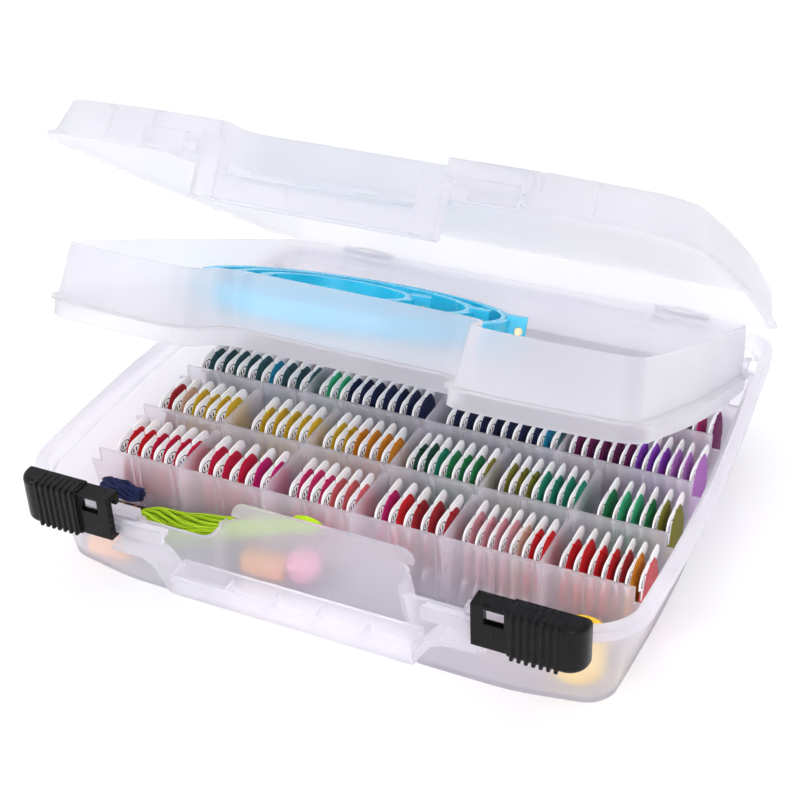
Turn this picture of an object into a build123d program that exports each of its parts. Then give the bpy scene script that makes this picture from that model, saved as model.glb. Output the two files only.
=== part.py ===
"""Embroidery thread case: compartment tub, flip-up tray, hinged lid and two sliding latches.

Origin: centre of the flat underside. +X to the right, +Y to the hinge side, +Z up. Millimetres.
Every piece is drawn in the closed case; the lid and tray pieces are turned to their open rest
position as they are written.
"""
from build123d import *
import math
import os

# ---------------------------------------------------------------- driving dimensions
# Plan of the rim, seen from above
HALF_WIDTH = 190.5          # half width of the rim at the widest point
WIDEST_Y = -25.0            # where the bowed sides are widest
HALF_WIDTH_FRONT = 185.6    # half width of the rim where the sides meet the front
HALF_WIDTH_REAR = 179.5     # half width of the rim where the sides meet the rear
HALF_DEPTH = 160.5          # rim, from the middle to the front and to the rear
BOW_RADIUS = 1100.0         # radius of the sides' bow
BOW_CREST = 1.2             # the bow's crest lies this far inside its two tangents' crossing
FRONT_FLAT = 120.0          # the front is straight for this far each side of the middle
FRONT_SWEEP = 9.0           # the front ends lie this far back
FRONT_BLEND = 150.0         # radius that blends the straight front into its swept ends
FRONT_CORNER = 34.0         # corner radius of the rim at the front
REAR_CORNER = 26.0          # corner radius of the rim at the rear

# Tub
TUB_HEIGHT = 61.0
TUB_WALL = 2.2
TUB_FLOOR = 2.0
WALL_TOP = 51.0             # the drafted wall ends in the ledge here
BASE_INSET = 16.0           # draft: the underside lies this far inside the rim at the sides
BASE_INSET_ENDS = 12.5      # the same at the front and rear
WALL_TOP_INSET = 7.5
WALL_TOP_INSET_ENDS = 7.0
LEDGE_THICKNESS = 2.0
RIM_OUTER_INSET = 4.0       # outer face of the short wall above the ledge
RIM_INNER_INSET = 6.0
LIP_THICKNESS = 2.5
LIP_SKIRT_DROP = 7.0
LIP_SKIRT_WALL = 1.8

# Bay in the front of the tub and lid, behind the handle
BAY_HALF_WIDTH = 56.0
BAY_REAR_Y = -130.0
BAY_DRAFT = 6.0
BAY_CORNER = 12.0
BAY_MOUTH_CORNER = 5.0
BAY_PANEL_TOP = 60.0
DIP_HALF_WIDTH = 99.0       # the rim is left out this far each side of the middle at the front
DIP_DEPTH = 20.0

# Compartments
ROW_PITCH = 50.8
FIRST_ROW_WALL_Y = -96.5
ROW_WALL_COUNT = 5
ROW_WALL_THICKNESS = 2.0
ROW_WALL_TOP = 46.6
ROW_NOTCH_WIDTH = 9.0       # lowered ends of the row walls, which clear the tray's skirt
ROW_NOTCH_DEPTH = 10.0
SLOT_PITCH = 28.7
SLOT_COUNT = 11
RIB_GAP = 3.2               # clear width between a slot's two ribs
RIB_THICKNESS = 1.4
RIB_DEPTH = 1.3
DIVIDER_THICKNESS = 1.6
DIVIDER_TOP = 44.5
DIVIDER_CORNER = 6.0
SEAT = 0.3                  # clearance of a loose piece in its seat

# Thread cards
CARD_THICKNESS = 1.2
CARD_WIDTH = 37.0
CARD_TOP = 47.9
CARD_CORNER = 7.0
CARD_WAIST = 27.0
CARD_LOBE_HEIGHT = 9.0
CARD_SLOT_WIDTH = 3.0
CARD_SLOT_DEPTH = 12.0
THREAD_THICKNESS = 5.6
THREAD_WIDTH = 31.0
THREAD_TOP = 43.5
THREAD_BOTTOM = 8.0
THREAD_CORNER = 9.0

# Handle
BAR_HALF_LENGTH = 74.0
BAR_REAR_Y = -154.2
BAR_DEPTH = 16.8
BAR_BOTTOM = 21.0
BAR_SPLIT = 33.0            # the lower half ends here and the upper half starts
BAR_TOP = 53.5
BAR_WALL = 1.8
BAR_GUSSET_COUNT = 4
BAR_GUSSET_PITCH = 28.0
BAR_GUSSET_THICKNESS = 1.5
BAR_GUSSET_HEIGHT = 8.0
PART_GAP = 0.3              # between rim and lid
LOWER_ARM_RISE = 43.0       # height at which the lower arms turn outward
LOWER_ARM_REACH = 110.0
LOWER_ARM_BAND = 2.2
LOWER_LUG_WIDTH = 13.0
UPPER_BAR_HALF_LENGTH = 64.0
UPPER_BAR_RISE = 8.0        # clear height between the two halves of the grip
UPPER_ARM_INNER = 54.0
UPPER_ARM_OUTER = 67.0
UPPER_ARM_DEPTH = 9.5

# Latches and their rails
LATCH_LENGTH = 60.0
LATCH_INNER_END = 107.5     # distance from the middle at rest, slid outward
LATCH_BOTTOM = 47.8
LATCH_TOP = 76.5
LATCH_FRONT_Y = -174.5
LATCH_REAR_Y = -161.5
LATCH_TRAVEL = 28.0
LATCH_CORNER = 11.0
LATCH_END_WALL = 2.5
LATCH_EDGE = 3.0
LATCH_BRIDGE_LENGTH = 20.0
LATCH_BRIDGE_STEP = 2.0
LATCH_WINDOW_LENGTH = 11.0
LATCH_WINDOW_HEIGHT = 9.0
GRIP_RIB_COUNT = 7
GRIP_RIB_PITCH = 3.9
GRIP_RIB_WIDTH = 1.8
GRIP_RIB_PROUD = 0.6
RAIL_HEAD_THICKNESS = 3.0
RAIL_HEAD_FRONT_Y = -168.0
RAIL_HEAD_BOTTOM = 51.2
RAIL_HEAD_TOP = 59.6
RAIL_WEB_BOTTOM = 54.2
RAIL_WEB_THICKNESS = 3.0
RAIL_OUTER_END = 136.5
SLIDE_GAP = 0.4
LID_LUG_LENGTH = 25.5
LID_LUG_INNER = 78.0
LID_LUG_BOTTOM = 61.8
LID_LUG_TOP = 72.0
LID_WEB_BOTTOM = 64.6
ARM_BLOCK_TOP = 81.5        # blocks of the lid over the handle's upper arms
ARM_BLOCK_FRONT_Y = -161.1

# Lid and rear hinge
LID_HEIGHT = 22.2
LID_WALL = 2.2
LID_WALL_INSET = 2.5        # lid wall at its flange
LID_TOP_INSET_SIDE = 7.5
LID_TOP_INSET_FRONT = 10.0
LID_FLANGE_THICKNESS = 2.5
LID_BAY_HALF_WIDTH = 62.0
LID_BAY_REAR_Y = -131.5
LID_RIB_COUNT = 3
LID_RIB_PITCH = 28.0
LID_OPEN = 36.3             # rest angle of the lid
HINGE_Y = 163.2
HINGE_Z = 61.5
KNUCKLE_RADIUS = 2.7
HINGE_PIN_RADIUS = 1.2
HINGE_BORE_CLEARANCE = 0.06
KNUCKLE_LENGTH = 12.0
KNUCKLE_GAP = 0.4
HINGE_SPACING = 230.0       # between the middles of the two hinges
HINGE_LEAF = 4.0

# Tray
TRAY_OPEN = 25.2            # rest angle of the tray
PIVOT_Y = 124.0
PIVOT_Z = 56.0
PIVOT_RADIUS = 2.5
PIVOT_CLEARANCE = 0.1
PIVOT_BOSS_RADIUS = 4.4
TRAY_FLANGE_BOTTOM = 48.4
TRAY_FLOOR = 1.5
TRAY_TOP = 80.5
TRAY_WALL = 1.6
TRAY_FLANGE_INSET = (10.9, 12.0, 10.9)  # flange's tip in from the rim along a side: front, middle, rear
TRAY_FLANGE_INSET_FRONT = 10.6
TRAY_FLANGE_INSET_REAR = 11.2
TRAY_FLANGE_PROUD = (5.2, 7.5, 3.2)     # flange beyond the wall's foot along a side
TRAY_FLANGE_PROUD_REAR = 7.0
TRAY_FLANGE_PROUD_FRONT = 3.5           # the same at the front and round the recess
TRAY_DRAFT = 3.0
TRAY_RECESS_HALF_WIDTH = 74.0
TRAY_RECESS_REAR_Y = -110.5
TRAY_RECESS_CORNER = 16.0
TRAY_RECESS_MOUTH = 14.0
TRAY_CORNER_FRONT = 22.0
TRAY_CORNER_REAR = 14.0
TRAY_WALL_CORNER = 13.0      # corner radius of the walls at the front
SKIRT_DROP = 9.0
SKIRT_INSET = 2.0
SKIRT_WALL = 1.5
EAR_THICKNESS = 3.0
EAR_RADIUS = 6.0
EAR_GAP = 0.4               # between an ear and its pivot boss

# Hoops in the tray: centre, outer radius of the inner ring's wall, clamp direction
HOOP_HEIGHT = 13.0
HOOP_RING_WALL = 3.0
HOOP_RING_GAP = 0.3
HOOP_RESTS = 0.3
CLAMP_LENGTH = 11.0
CLAMP_WIDTH = 5.0
CLAMP_SPLIT = 2.4
CLAMP_RISE = 2.0
SCREW_RADIUS = 1.5
SCREW_HEAD_RADIUS = 2.6
SCREW_HEAD_THICKNESS = 2.2
HOOPS = {
    "large": (-66.0, 38.0, 99.5, 17.0),
    "medium": (-73.5, 49.0, 79.5, 14.0),
    "small": (-87.5, 55.0, 51.0, 24.0),
}

# Thread cards of each row, cell by cell: x of the first card, pitch, and the threads' colours
ROW_1 = (
    (-161.0, 8.3, "red red crimson crimson crimson crimson"),
    (-102.0, 10.0, "crimson crimson crimson magenta magenta"),
    (-42.0, 7.4, "rose rose rose coral coral coral"),
    (12.0, 10.0, "magenta red brick brick brick"),
    (66.5, 7.4, "pink pink pink pink peach red red"),
    (125.0, 7.3, "red red red red brick orange coral"),
)
ROW_2 = (
    (-163.0, 8.5, "brick peach yellow yellow yellow yellow"),
    (-96.0, 8.0, "yellow yellow yellow yellow yellow"),
    (-46.0, 7.6, "yellow yellow orange orange orange orange"),
    (9.0, 7.4, "forest forest teal green green green olive"),
    (66.5, 7.4, "olive olive olive teal teal teal teal"),
    (128.0, 8.1, "green mint mint green olive olive"),
)
ROW_3 = (
    (-164.0, 9.2, "slate slate slate slate slate turquoise slate slate slate"),
    (-76.0, 8.0, "mint mint navy navy navy navy navy navy navy"),
    (14.0, 8.4, "navy navy navy navy navy navy navy turquoise slate"),
    (93.0, 7.4, "plum plum plum plum plum purple purple purple lilac lilac lilac"),
)
ROW_4 = (
    (-158.0, 8.5, "slate slate olive olive brick brick"),
    (-70.0, 9.0, "brick plum plum navy"),
    (14.0, 8.4, "navy slate slate slate navy"),
    (134.0, 9.5, "plum plum magenta plum"),
)
ROW_DIVIDER_SLOTS = ((2, 4, 6, 8, 10), (2, 4, 6, 8, 10), (3, 6, 9), (3, 6, 9))

# Goods in the front channel
SKEIN_RADIUS = 11.0
SKEIN_LENGTH = 46.0
SKEIN_START = (-134.0, -112.0)
SKEIN_TAIL_RADIUS = 4.5     # the looped end, which stands up against the row wall
SKEIN_TAIL_LENGTH = 66.0
SKEIN_TAIL_SHIFT = 5.5
SKEIN_TAIL_RISE = 17.0
BAND_RADIUS = 9.0
BAND_LENGTH = 26.0
NAVY_SKEIN_LENGTH = 30.0
NAVY_SKEIN_RADIUS = 7.0
NAVY_SKEIN_END = (-134.0, -106.3, 26.8)
BALL_RADIUS = 11.0
BALL_CENTRE = (-22.0, -111.5)
PACKET_SIZE = (28.0, 13.0, 9.0)
PACKET_CORNER = 1.2
PACKET_CENTRES = ((-141.0, -131.0), (-48.5, -112.0), (98.0, -112.0))
TAPE_RADIUS = 15.0
TAPE_CORE_RADIUS = 8.0
TAPE_HEIGHT = 22.0
TAPE_CENTRE = (146.0, -117.0)

# ---------------------------------------------------------------- derived places
FRONT_Y = -HALF_DEPTH
REAR_Y = HALF_DEPTH
LID_BOTTOM = TUB_HEIGHT + PART_GAP
LID_TOP = LID_BOTTOM + LID_HEIGHT
CARD_BOTTOM = TUB_FLOOR + SEAT
ROW_WALL_YS = [FIRST_ROW_WALL_Y + ROW_PITCH * row for row in range(ROW_WALL_COUNT)]
SLOT_XS = [SLOT_PITCH * (slot - (SLOT_COUNT - 1) / 2) for slot in range(SLOT_COUNT)]
BAR_FRONT_Y = BAR_REAR_Y - BAR_DEPTH
LID_HINGE = Axis((0, HINGE_Y, HINGE_Z), (-1, 0, 0))
TRAY_PIVOT = Axis((0, PIVOT_Y, PIVOT_Z), (-1, 0, 0))
TRAY_FLOOR_TOP = TRAY_FLANGE_BOTTOM + TRAY_FLOOR
SIDES = (-1, 1)

os.makedirs("parts", exist_ok=True)


# ---------------------------------------------------------------- shared shapes
def plan(z, side, front, rear, front_corner, rear_corner, bay=None, bay_corner=0.0, mouth_corner=0.0):
    """Sheet of the case's plan at height z, drawn in from the rim by a side, front and rear inset.

    side is one inset, or three for the front, middle and rear of the sides. bay gives the half width
    and rear edge of the front recess that is cut out, or None.
    """
    front_y = FRONT_Y + front
    rear_y = REAR_Y - rear
    inset_front, inset_middle, inset_rear = side if isinstance(side, tuple) else (side, side, side)
    side_front = HALF_WIDTH_FRONT - inset_front
    side_rear = HALF_WIDTH_REAR - inset_rear
    side_middle = HALF_WIDTH + BOW_CREST - inset_middle
    right = [(FRONT_FLAT, front_y), (side_front, front_y + FRONT_SWEEP), (side_middle, WIDEST_Y), (side_rear, rear_y)]
    right_radii = [FRONT_BLEND, front_corner, BOW_RADIUS, rear_corner]
    if bay:
        right = [(bay[0], bay[1]), (bay[0], front_y)] + right
        right_radii = [bay_corner, mouth_corner] + right_radii
    left = [(-x, y) for x, y in reversed(right)]
    with BuildSketch(Plane.XY.offset(z)) as sheet:
        with BuildLine():
            FilletPolyline(*right, *left, radius=right_radii + right_radii[::-1], close=True)
        make_face()
    return sheet.sketch


def tub_sheet(z, wall=0.0):
    """Plan of the drafted tub wall at height z, drawn in by a wall thickness."""
    share = (WALL_TOP - z) / WALL_TOP
    side = WALL_TOP_INSET + (BASE_INSET - WALL_TOP_INSET) * share + wall
    ends = WALL_TOP_INSET_ENDS + (BASE_INSET_ENDS - WALL_TOP_INSET_ENDS) * share + wall
    bay_growth = BAY_DRAFT * share + wall
    bay = (BAY_HALF_WIDTH + bay_growth, BAY_REAR_Y + bay_growth)
    return plan(z, side, ends, ends, FRONT_CORNER - side, REAR_CORNER - side, bay,
                BAY_CORNER + wall, BAY_MOUTH_CORNER)


def rim_sheet(z, inset):
    """Plan of the rim at height z, with no bay."""
    return plan(z, inset, inset, inset, FRONT_CORNER - inset, REAR_CORNER - inset)


def lid_sheet(z, side, front, wall=0.0):
    """Plan of the lid wall at height z, with its bay."""
    inset = side + wall
    bay_growth = side - LID_WALL_INSET + wall
    bay = (LID_BAY_HALF_WIDTH + bay_growth, LID_BAY_REAR_Y + bay_growth)
    return plan(z, inset, front + wall, inset, FRONT_CORNER - inset, REAR_CORNER - inset, bay,
                BAY_CORNER + wall, BAY_MOUTH_CORNER)


def tray_sheet(z, side, front, rear, corner=TRAY_CORNER_FRONT):
    """Plan of the tray at height z, drawn in from its flange's tip, with its front recess.

    side is the inset at the front, middle and rear of the sides; the recess is drawn in as far as the
    front.
    """
    bay = (TRAY_RECESS_HALF_WIDTH - TRAY_FLANGE_PROUD_FRONT + front,
           TRAY_RECESS_REAR_Y - TRAY_FLANGE_PROUD_FRONT + front)
    sides = tuple(tip + inset for tip, inset in zip(TRAY_FLANGE_INSET, side))
    return plan(z, sides, TRAY_FLANGE_INSET_FRONT + front, TRAY_FLANGE_INSET_REAR + rear,
                corner, TRAY_CORNER_REAR, bay, TRAY_RECESS_CORNER, TRAY_RECESS_MOUTH)


def tray_wall_sheet(z, drawn_in):
    """Plan of the tray's wall at height z, drawn in from the foot of its outer face."""
    return tray_sheet(z, tuple(proud + drawn_in for proud in TRAY_FLANGE_PROUD),
                      TRAY_FLANGE_PROUD_FRONT + drawn_in, TRAY_FLANGE_PROUD_REAR + drawn_in, TRAY_WALL_CORNER)


def block(low, high):
    """Box between two corners, cut or joined by the caller."""
    size = [h - l for l, h in zip(low, high)]
    middle = [(h + l) / 2 for l, h in zip(low, high)]
    return Pos(*middle) * Box(*size, mode=Mode.PRIVATE)


def mirrored(low, high, side):
    """Box between two corners given for the right-hand side, mirrored for side -1."""
    xs = sorted((side * low[0], side * high[0]))
    return block((xs[0], low[1], low[2]), (xs[1], high[1], high[2]))


def write(part, name):
    """Label a finished piece and write its STEP file."""
    part.label = name
    export_step(part, "parts/" + name + ".step")


# ---------------------------------------------------------------- tub
with BuildPart() as tub_envelope:
    loft(sections=[tub_sheet(0), tub_sheet(WALL_TOP)], ruled=True)

with BuildPart() as tub_cavity:
    loft(sections=[tub_sheet(TUB_FLOOR, TUB_WALL), tub_sheet(WALL_TOP, TUB_WALL)], ruled=True)

with BuildPart() as base_tub:
    add(tub_envelope.part)
    add(tub_cavity.part, mode=Mode.SUBTRACT)
    # Ledge, short wall, lip and turned-down skirt of the rim
    extrude(rim_sheet(WALL_TOP, RIM_OUTER_INSET) - tub_sheet(WALL_TOP, TUB_WALL), amount=LEDGE_THICKNESS)
    extrude(rim_sheet(WALL_TOP + LEDGE_THICKNESS, RIM_OUTER_INSET)
            - rim_sheet(WALL_TOP + LEDGE_THICKNESS, RIM_INNER_INSET),
            amount=TUB_HEIGHT - WALL_TOP - LEDGE_THICKNESS)
    extrude(rim_sheet(TUB_HEIGHT - LIP_THICKNESS, 0) - rim_sheet(TUB_HEIGHT - LIP_THICKNESS, RIM_INNER_INSET),
            amount=LIP_THICKNESS)
    extrude(rim_sheet(TUB_HEIGHT - LIP_SKIRT_DROP, 0) - rim_sheet(TUB_HEIGHT - LIP_SKIRT_DROP, LIP_SKIRT_WALL),
            amount=LIP_SKIRT_DROP)
    # The rim is left out in the middle of the front, where the handle's arms pass
    add(block((-DIP_HALF_WIDTH, FRONT_Y - 1, WALL_TOP), (DIP_HALF_WIDTH, FRONT_Y + DIP_DEPTH, TUB_HEIGHT + 1)),
        mode=Mode.SUBTRACT)
    add(block((-BAY_HALF_WIDTH, FRONT_Y - 1, WALL_TOP), (BAY_HALF_WIDTH, BAY_REAR_Y, TUB_HEIGHT + 1)),
        mode=Mode.SUBTRACT)
    # Raised panel at the rear of the bay
    with BuildSketch(Plane.XZ.offset(-BAY_REAR_Y)) as panel:
        with Locations((0, WALL_TOP + (BAY_PANEL_TOP - WALL_TOP) / 2)):
            Rectangle(2 * BAY_HALF_WIDTH, BAY_PANEL_TOP - WALL_TOP)
        fillet(panel.vertices().group_by(Axis.Y)[-1], BAY_PANEL_TOP - WALL_TOP - 1)
    extrude(amount=-TUB_WALL)
    # Hinge knuckles at the rear
    for middle in (-HINGE_SPACING / 2, HINGE_SPACING / 2):
        for end in SIDES:
            start = middle + end * (KNUCKLE_LENGTH / 2 + KNUCKLE_GAP)
            stop = start + end * KNUCKLE_LENGTH
            low_x = min(start, stop)
            with BuildSketch(Plane.YZ.offset(low_x)):
                with Locations((HINGE_Y, HINGE_Z)):
                    Circle(KNUCKLE_RADIUS)
                with Locations(((REAR_Y + HINGE_Y) / 2, HINGE_Z - HINGE_LEAF / 2)):
                    Rectangle(HINGE_Y - REAR_Y, HINGE_LEAF)
                with Locations((HINGE_Y, HINGE_Z)):
                    Circle(HINGE_PIN_RADIUS, mode=Mode.SUBTRACT)
            extrude(amount=KNUCKLE_LENGTH)

write(base_tub.part, "base_tub")

with BuildPart() as hinge_pins:
    for middle in (-HINGE_SPACING / 2, HINGE_SPACING / 2):
        pin_length = 3 * KNUCKLE_LENGTH + 2 * KNUCKLE_GAP
        with BuildSketch(Plane.YZ.offset(middle - pin_length / 2)):
            with Locations((HINGE_Y, HINGE_Z)):
                Circle(HINGE_PIN_RADIUS)
        extrude(amount=pin_length)

write(hinge_pins.part, "hinge_pins")

# Row walls, each with a pair of ribs at every divider slot on its front face
for row, wall_y in enumerate(ROW_WALL_YS, start=1):
    with BuildPart() as row_wall:
        front_face = wall_y - ROW_WALL_THICKNESS / 2
        add(block((-HALF_WIDTH, front_face, 0), (HALF_WIDTH, front_face + ROW_WALL_THICKNESS, ROW_WALL_TOP)))
        for slot_x in SLOT_XS:
            for side in SIDES:
                rib_x = slot_x + side * (RIB_GAP + RIB_THICKNESS) / 2
                add(block((rib_x - RIB_THICKNESS / 2, front_face - RIB_DEPTH, 0),
                          (rib_x + RIB_THICKNESS / 2, front_face, ROW_WALL_TOP)))
        add(tub_cavity.part, mode=Mode.INTERSECT)
        wall_end = row_wall.part.bounding_box().max.X
        for side in SIDES:
            add(mirrored((wall_end - ROW_NOTCH_WIDTH, front_face - 1, ROW_WALL_TOP - ROW_NOTCH_DEPTH),
                         (HALF_WIDTH, front_face + ROW_WALL_THICKNESS + 1, ROW_WALL_TOP + 1), side),
                mode=Mode.SUBTRACT)
    write(row_wall.part, "row_wall_" + str(row))


# ---------------------------------------------------------------- dividers, cards and threads
def divider_node(row, slots):
    """Loose dividers of one row, standing in the rib slots of the wall behind them."""
    front = ROW_WALL_YS[row - 1] + ROW_WALL_THICKNESS / 2 + SEAT
    rear = ROW_WALL_YS[row] - ROW_WALL_THICKNESS / 2 - SEAT
    with BuildPart() as dividers:
        for slot in slots:
            slot_x = SLOT_XS[slot - 1]
            with BuildSketch(Plane.YZ.offset(slot_x - DIVIDER_THICKNESS / 2)) as sheet:
                with Locations(((front + rear) / 2, (TUB_FLOOR + DIVIDER_TOP) / 2)):
                    Rectangle(rear - front, DIVIDER_TOP - TUB_FLOOR)
                fillet(sheet.vertices().group_by(Axis.Y)[-1], DIVIDER_CORNER)
            extrude(amount=DIVIDER_THICKNESS)
    return dividers.part


# One card: two round-cornered lobes at each end of a narrow waist, with a slot at the top
with BuildPart() as card:
    card_height = CARD_TOP - CARD_BOTTOM
    card_middle_z = (CARD_TOP + CARD_BOTTOM) / 2
    with BuildSketch(Plane.YZ.offset(-CARD_THICKNESS / 2)):
        with Locations((0, card_middle_z)):
            RectangleRounded(CARD_WIDTH, card_height, CARD_CORNER)
        with Locations((-CARD_WIDTH / 2, card_middle_z), (CARD_WIDTH / 2, card_middle_z)):
            Rectangle(CARD_WIDTH - CARD_WAIST, card_height - 2 * CARD_LOBE_HEIGHT, mode=Mode.SUBTRACT)
        with Locations((0, CARD_TOP)):
            Rectangle(CARD_SLOT_WIDTH, 2 * CARD_SLOT_DEPTH, mode=Mode.SUBTRACT)
    extrude(amount=CARD_THICKNESS)

# The thread wound on one card
with BuildPart() as winding:
    with BuildSketch(Plane.YZ.offset(-THREAD_THICKNESS / 2)):
        with Locations((0, (THREAD_TOP + THREAD_BOTTOM) / 2)):
            RectangleRounded(THREAD_WIDTH, THREAD_TOP - THREAD_BOTTOM, THREAD_CORNER)
    extrude(amount=THREAD_THICKNESS)
    add(card.part, mode=Mode.SUBTRACT)


def card_places(row, cells):
    """Place of each card of a row: its x, the row's middle y and its thread's colour."""
    middle_y = (ROW_WALL_YS[row - 1] + ROW_WALL_YS[row]) / 2 - RIB_DEPTH / 2
    places = []
    for first_x, pitch, colours in cells:
        places += [(first_x + pitch * index, middle_y, colour) for index, colour in enumerate(colours.split())]
    return places


thread_places = {}
for row, cells in enumerate((ROW_1, ROW_2, ROW_3, ROW_4), start=1):
    write(divider_node(row, ROW_DIVIDER_SLOTS[row - 1]), "dividers_row_" + str(row))
    places = card_places(row, cells)
    for x, middle_y, colour in places:
        thread_places.setdefault(colour, []).append((x, middle_y))
    with BuildPart() as cards:
        with Locations(*[(x, middle_y, 0) for x, middle_y, colour in places]):
            add(card.part)
    write(cards.part, "cards_row_" + str(row))

for colour, places in sorted(thread_places.items()):
    with BuildPart() as threads:
        with Locations(*[(x, middle_y, 0) for x, middle_y in places]):
            add(winding.part)
    write(threads.part, "threads_" + colour)

# ---------------------------------------------------------------- goods in the front channel
skein_z = TUB_FLOOR + SKEIN_RADIUS + SEAT
skein_end = (SKEIN_START[0] + SKEIN_LENGTH, SKEIN_START[1], skein_z)
tail_end = (skein_end[0] + SKEIN_TAIL_LENGTH, skein_end[1] + SKEIN_TAIL_SHIFT, skein_z + SKEIN_TAIL_RISE)

with BuildPart() as skein_green:
    with BuildSketch(Plane(origin=(*SKEIN_START, skein_z), z_dir=(1, 0, 0))):
        Circle(SKEIN_RADIUS)
    extrude(amount=SKEIN_LENGTH)
    with BuildSketch(Plane(origin=skein_end, z_dir=(1, 0, 0))) as skein_foot:
        Circle(SKEIN_RADIUS)
    with BuildSketch(Plane(origin=tail_end, z_dir=(1, 0, 0))) as skein_tip:
        Circle(SKEIN_TAIL_RADIUS)
    loft(sections=[skein_foot.sketch, skein_tip.sketch], ruled=True)
write(skein_green.part, "skein_green")

with BuildPart() as skein_band:
    with BuildSketch(Plane(origin=(*SKEIN_START, TUB_FLOOR + BAND_RADIUS + SEAT), z_dir=(-1, 0, 0))):
        Circle(BAND_RADIUS)
    extrude(amount=BAND_LENGTH)
write(skein_band.part, "skein_band")

with BuildPart() as skein_navy:
    with BuildSketch(Plane(origin=NAVY_SKEIN_END, z_dir=(-1, 0, 0)).offset(SEAT)):
        Circle(NAVY_SKEIN_RADIUS)
    extrude(amount=NAVY_SKEIN_LENGTH)
    fillet(skein_navy.edges().filter_by(GeomType.CIRCLE), NAVY_SKEIN_RADIUS / 2)
write(skein_navy.part, "skein_navy")

with BuildPart() as wool_ball:
    with Locations((*BALL_CENTRE, TUB_FLOOR + BALL_RADIUS + SEAT)):
        Sphere(BALL_RADIUS)
write(wool_ball.part, "wool_ball")

with BuildPart() as packets:
    with Locations(*[(x, y, TUB_FLOOR + PACKET_SIZE[2] / 2) for x, y in PACKET_CENTRES]):
        Box(*PACKET_SIZE)
    fillet(packets.edges().filter_by(Axis.Z), PACKET_CORNER)
write(packets.part, "packets")

with BuildPart() as tape_roll:
    with BuildSketch(Plane.XY.offset(TUB_FLOOR)):
        with Locations(TAPE_CENTRE):
            Circle(TAPE_RADIUS)
            Circle(TAPE_CORE_RADIUS, mode=Mode.SUBTRACT)
    extrude(amount=TAPE_HEIGHT)
write(tape_roll.part, "tape_roll")


# ---------------------------------------------------------------- handle
def bar_half(half_length, low, high, open_high):
    """One half of the grip: a trough between two heights, open at one of them, with cross gussets."""
    floor_z = low if open_high else high - BAR_WALL
    with BuildPart() as bar:
        add(block((-half_length, BAR_FRONT_Y, low), (half_length, BAR_REAR_Y, high)))
        fillet(bar.edges().filter_by(Axis.Z), BAR_WALL)
        hollow_low = low + BAR_WALL if open_high else low
        hollow_high = high if open_high else high - BAR_WALL
        add(block((-half_length + BAR_WALL, BAR_FRONT_Y + BAR_WALL, hollow_low),
                  (half_length - BAR_WALL, BAR_REAR_Y - BAR_WALL, hollow_high)), mode=Mode.SUBTRACT)
        for index in range(BAR_GUSSET_COUNT):
            x = BAR_GUSSET_PITCH * (index - (BAR_GUSSET_COUNT - 1) / 2)
            gusset_low = floor_z if open_high else floor_z + BAR_WALL - BAR_GUSSET_HEIGHT
            add(block((x - BAR_GUSSET_THICKNESS / 2, BAR_FRONT_Y + BAR_WALL, gusset_low),
                      (x + BAR_GUSSET_THICKNESS / 2, BAR_REAR_Y - BAR_WALL, gusset_low + BAR_GUSSET_HEIGHT)))
    return bar.part


with BuildPart() as handle_lower:
    add(bar_half(BAR_HALF_LENGTH, BAR_BOTTOM, BAR_SPLIT, True))
    for side in SIDES:
        # Band that rises from the grip's end and turns outward to the lug under the latch rail
        foot = BAR_HALF_LENGTH
        knee = BAR_HALF_LENGTH + 15
        band = LOWER_ARM_BAND
        with BuildSketch(Plane.XZ.offset(-BAR_REAR_Y)):
            with BuildLine():
                Polyline((side * foot, BAR_BOTTOM), (side * (foot + band + 8), BAR_SPLIT + 4),
                         (side * (knee + 1), LOWER_ARM_RISE - band), (side * LOWER_ARM_REACH, LOWER_ARM_RISE - band),
                         (side * LOWER_ARM_REACH, LOWER_ARM_RISE), (side * knee, LOWER_ARM_RISE),
                         (side * (foot + 7.6), BAR_SPLIT + 5), (side * foot, BAR_BOTTOM + 7), close=True)
            make_face()
        extrude(amount=BAR_DEPTH)
        # Web behind the band, and the lug that carries the rail
        with BuildSketch(Plane.XZ.offset(-BAR_REAR_Y)):
            with BuildLine():
                Polyline((side * foot, BAR_BOTTOM), (side * LOWER_ARM_REACH, BAR_SPLIT),
                         (side * LOWER_ARM_REACH, LOWER_ARM_RISE), (side * knee, LOWER_ARM_RISE),
                         (side * (foot + 7.6), BAR_SPLIT + 5), (side * foot, BAR_BOTTOM + 7), close=True)
            make_face()
        extrude(amount=BAR_WALL)
        lug_inner = LOWER_ARM_REACH - LOWER_LUG_WIDTH
        add(mirrored((lug_inner, LATCH_REAR_Y + SLIDE_GAP, BAR_SPLIT),
                     (LOWER_ARM_REACH, BAY_REAR_Y, WALL_TOP), side))
        add(mirrored((lug_inner, LATCH_REAR_Y + SLIDE_GAP, WALL_TOP),
                     (LOWER_ARM_REACH, FRONT_Y + RIM_OUTER_INSET, RAIL_WEB_BOTTOM), side))
    add(tub_envelope.part, mode=Mode.SUBTRACT)
    add(base_tub.part, mode=Mode.SUBTRACT)
write(handle_lower.part, "handle_lower")

with BuildPart() as latch_rails:
    for side in SIDES:
        add(mirrored((LID_LUG_INNER, RAIL_HEAD_FRONT_Y, RAIL_HEAD_BOTTOM),
                     (RAIL_OUTER_END, RAIL_HEAD_FRONT_Y + RAIL_HEAD_THICKNESS, RAIL_HEAD_TOP), side))
        add(mirrored((LID_LUG_INNER, RAIL_HEAD_FRONT_Y + RAIL_HEAD_THICKNESS, RAIL_WEB_BOTTOM),
                     (RAIL_OUTER_END, FRONT_Y + FRONT_SWEEP, RAIL_WEB_BOTTOM + RAIL_WEB_THICKNESS), side))
    extrude(rim_sheet(RAIL_HEAD_BOTTOM, 0), amount=TUB_HEIGHT - RAIL_HEAD_BOTTOM, mode=Mode.SUBTRACT)
write(latch_rails.part, "latch_rails")


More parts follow.
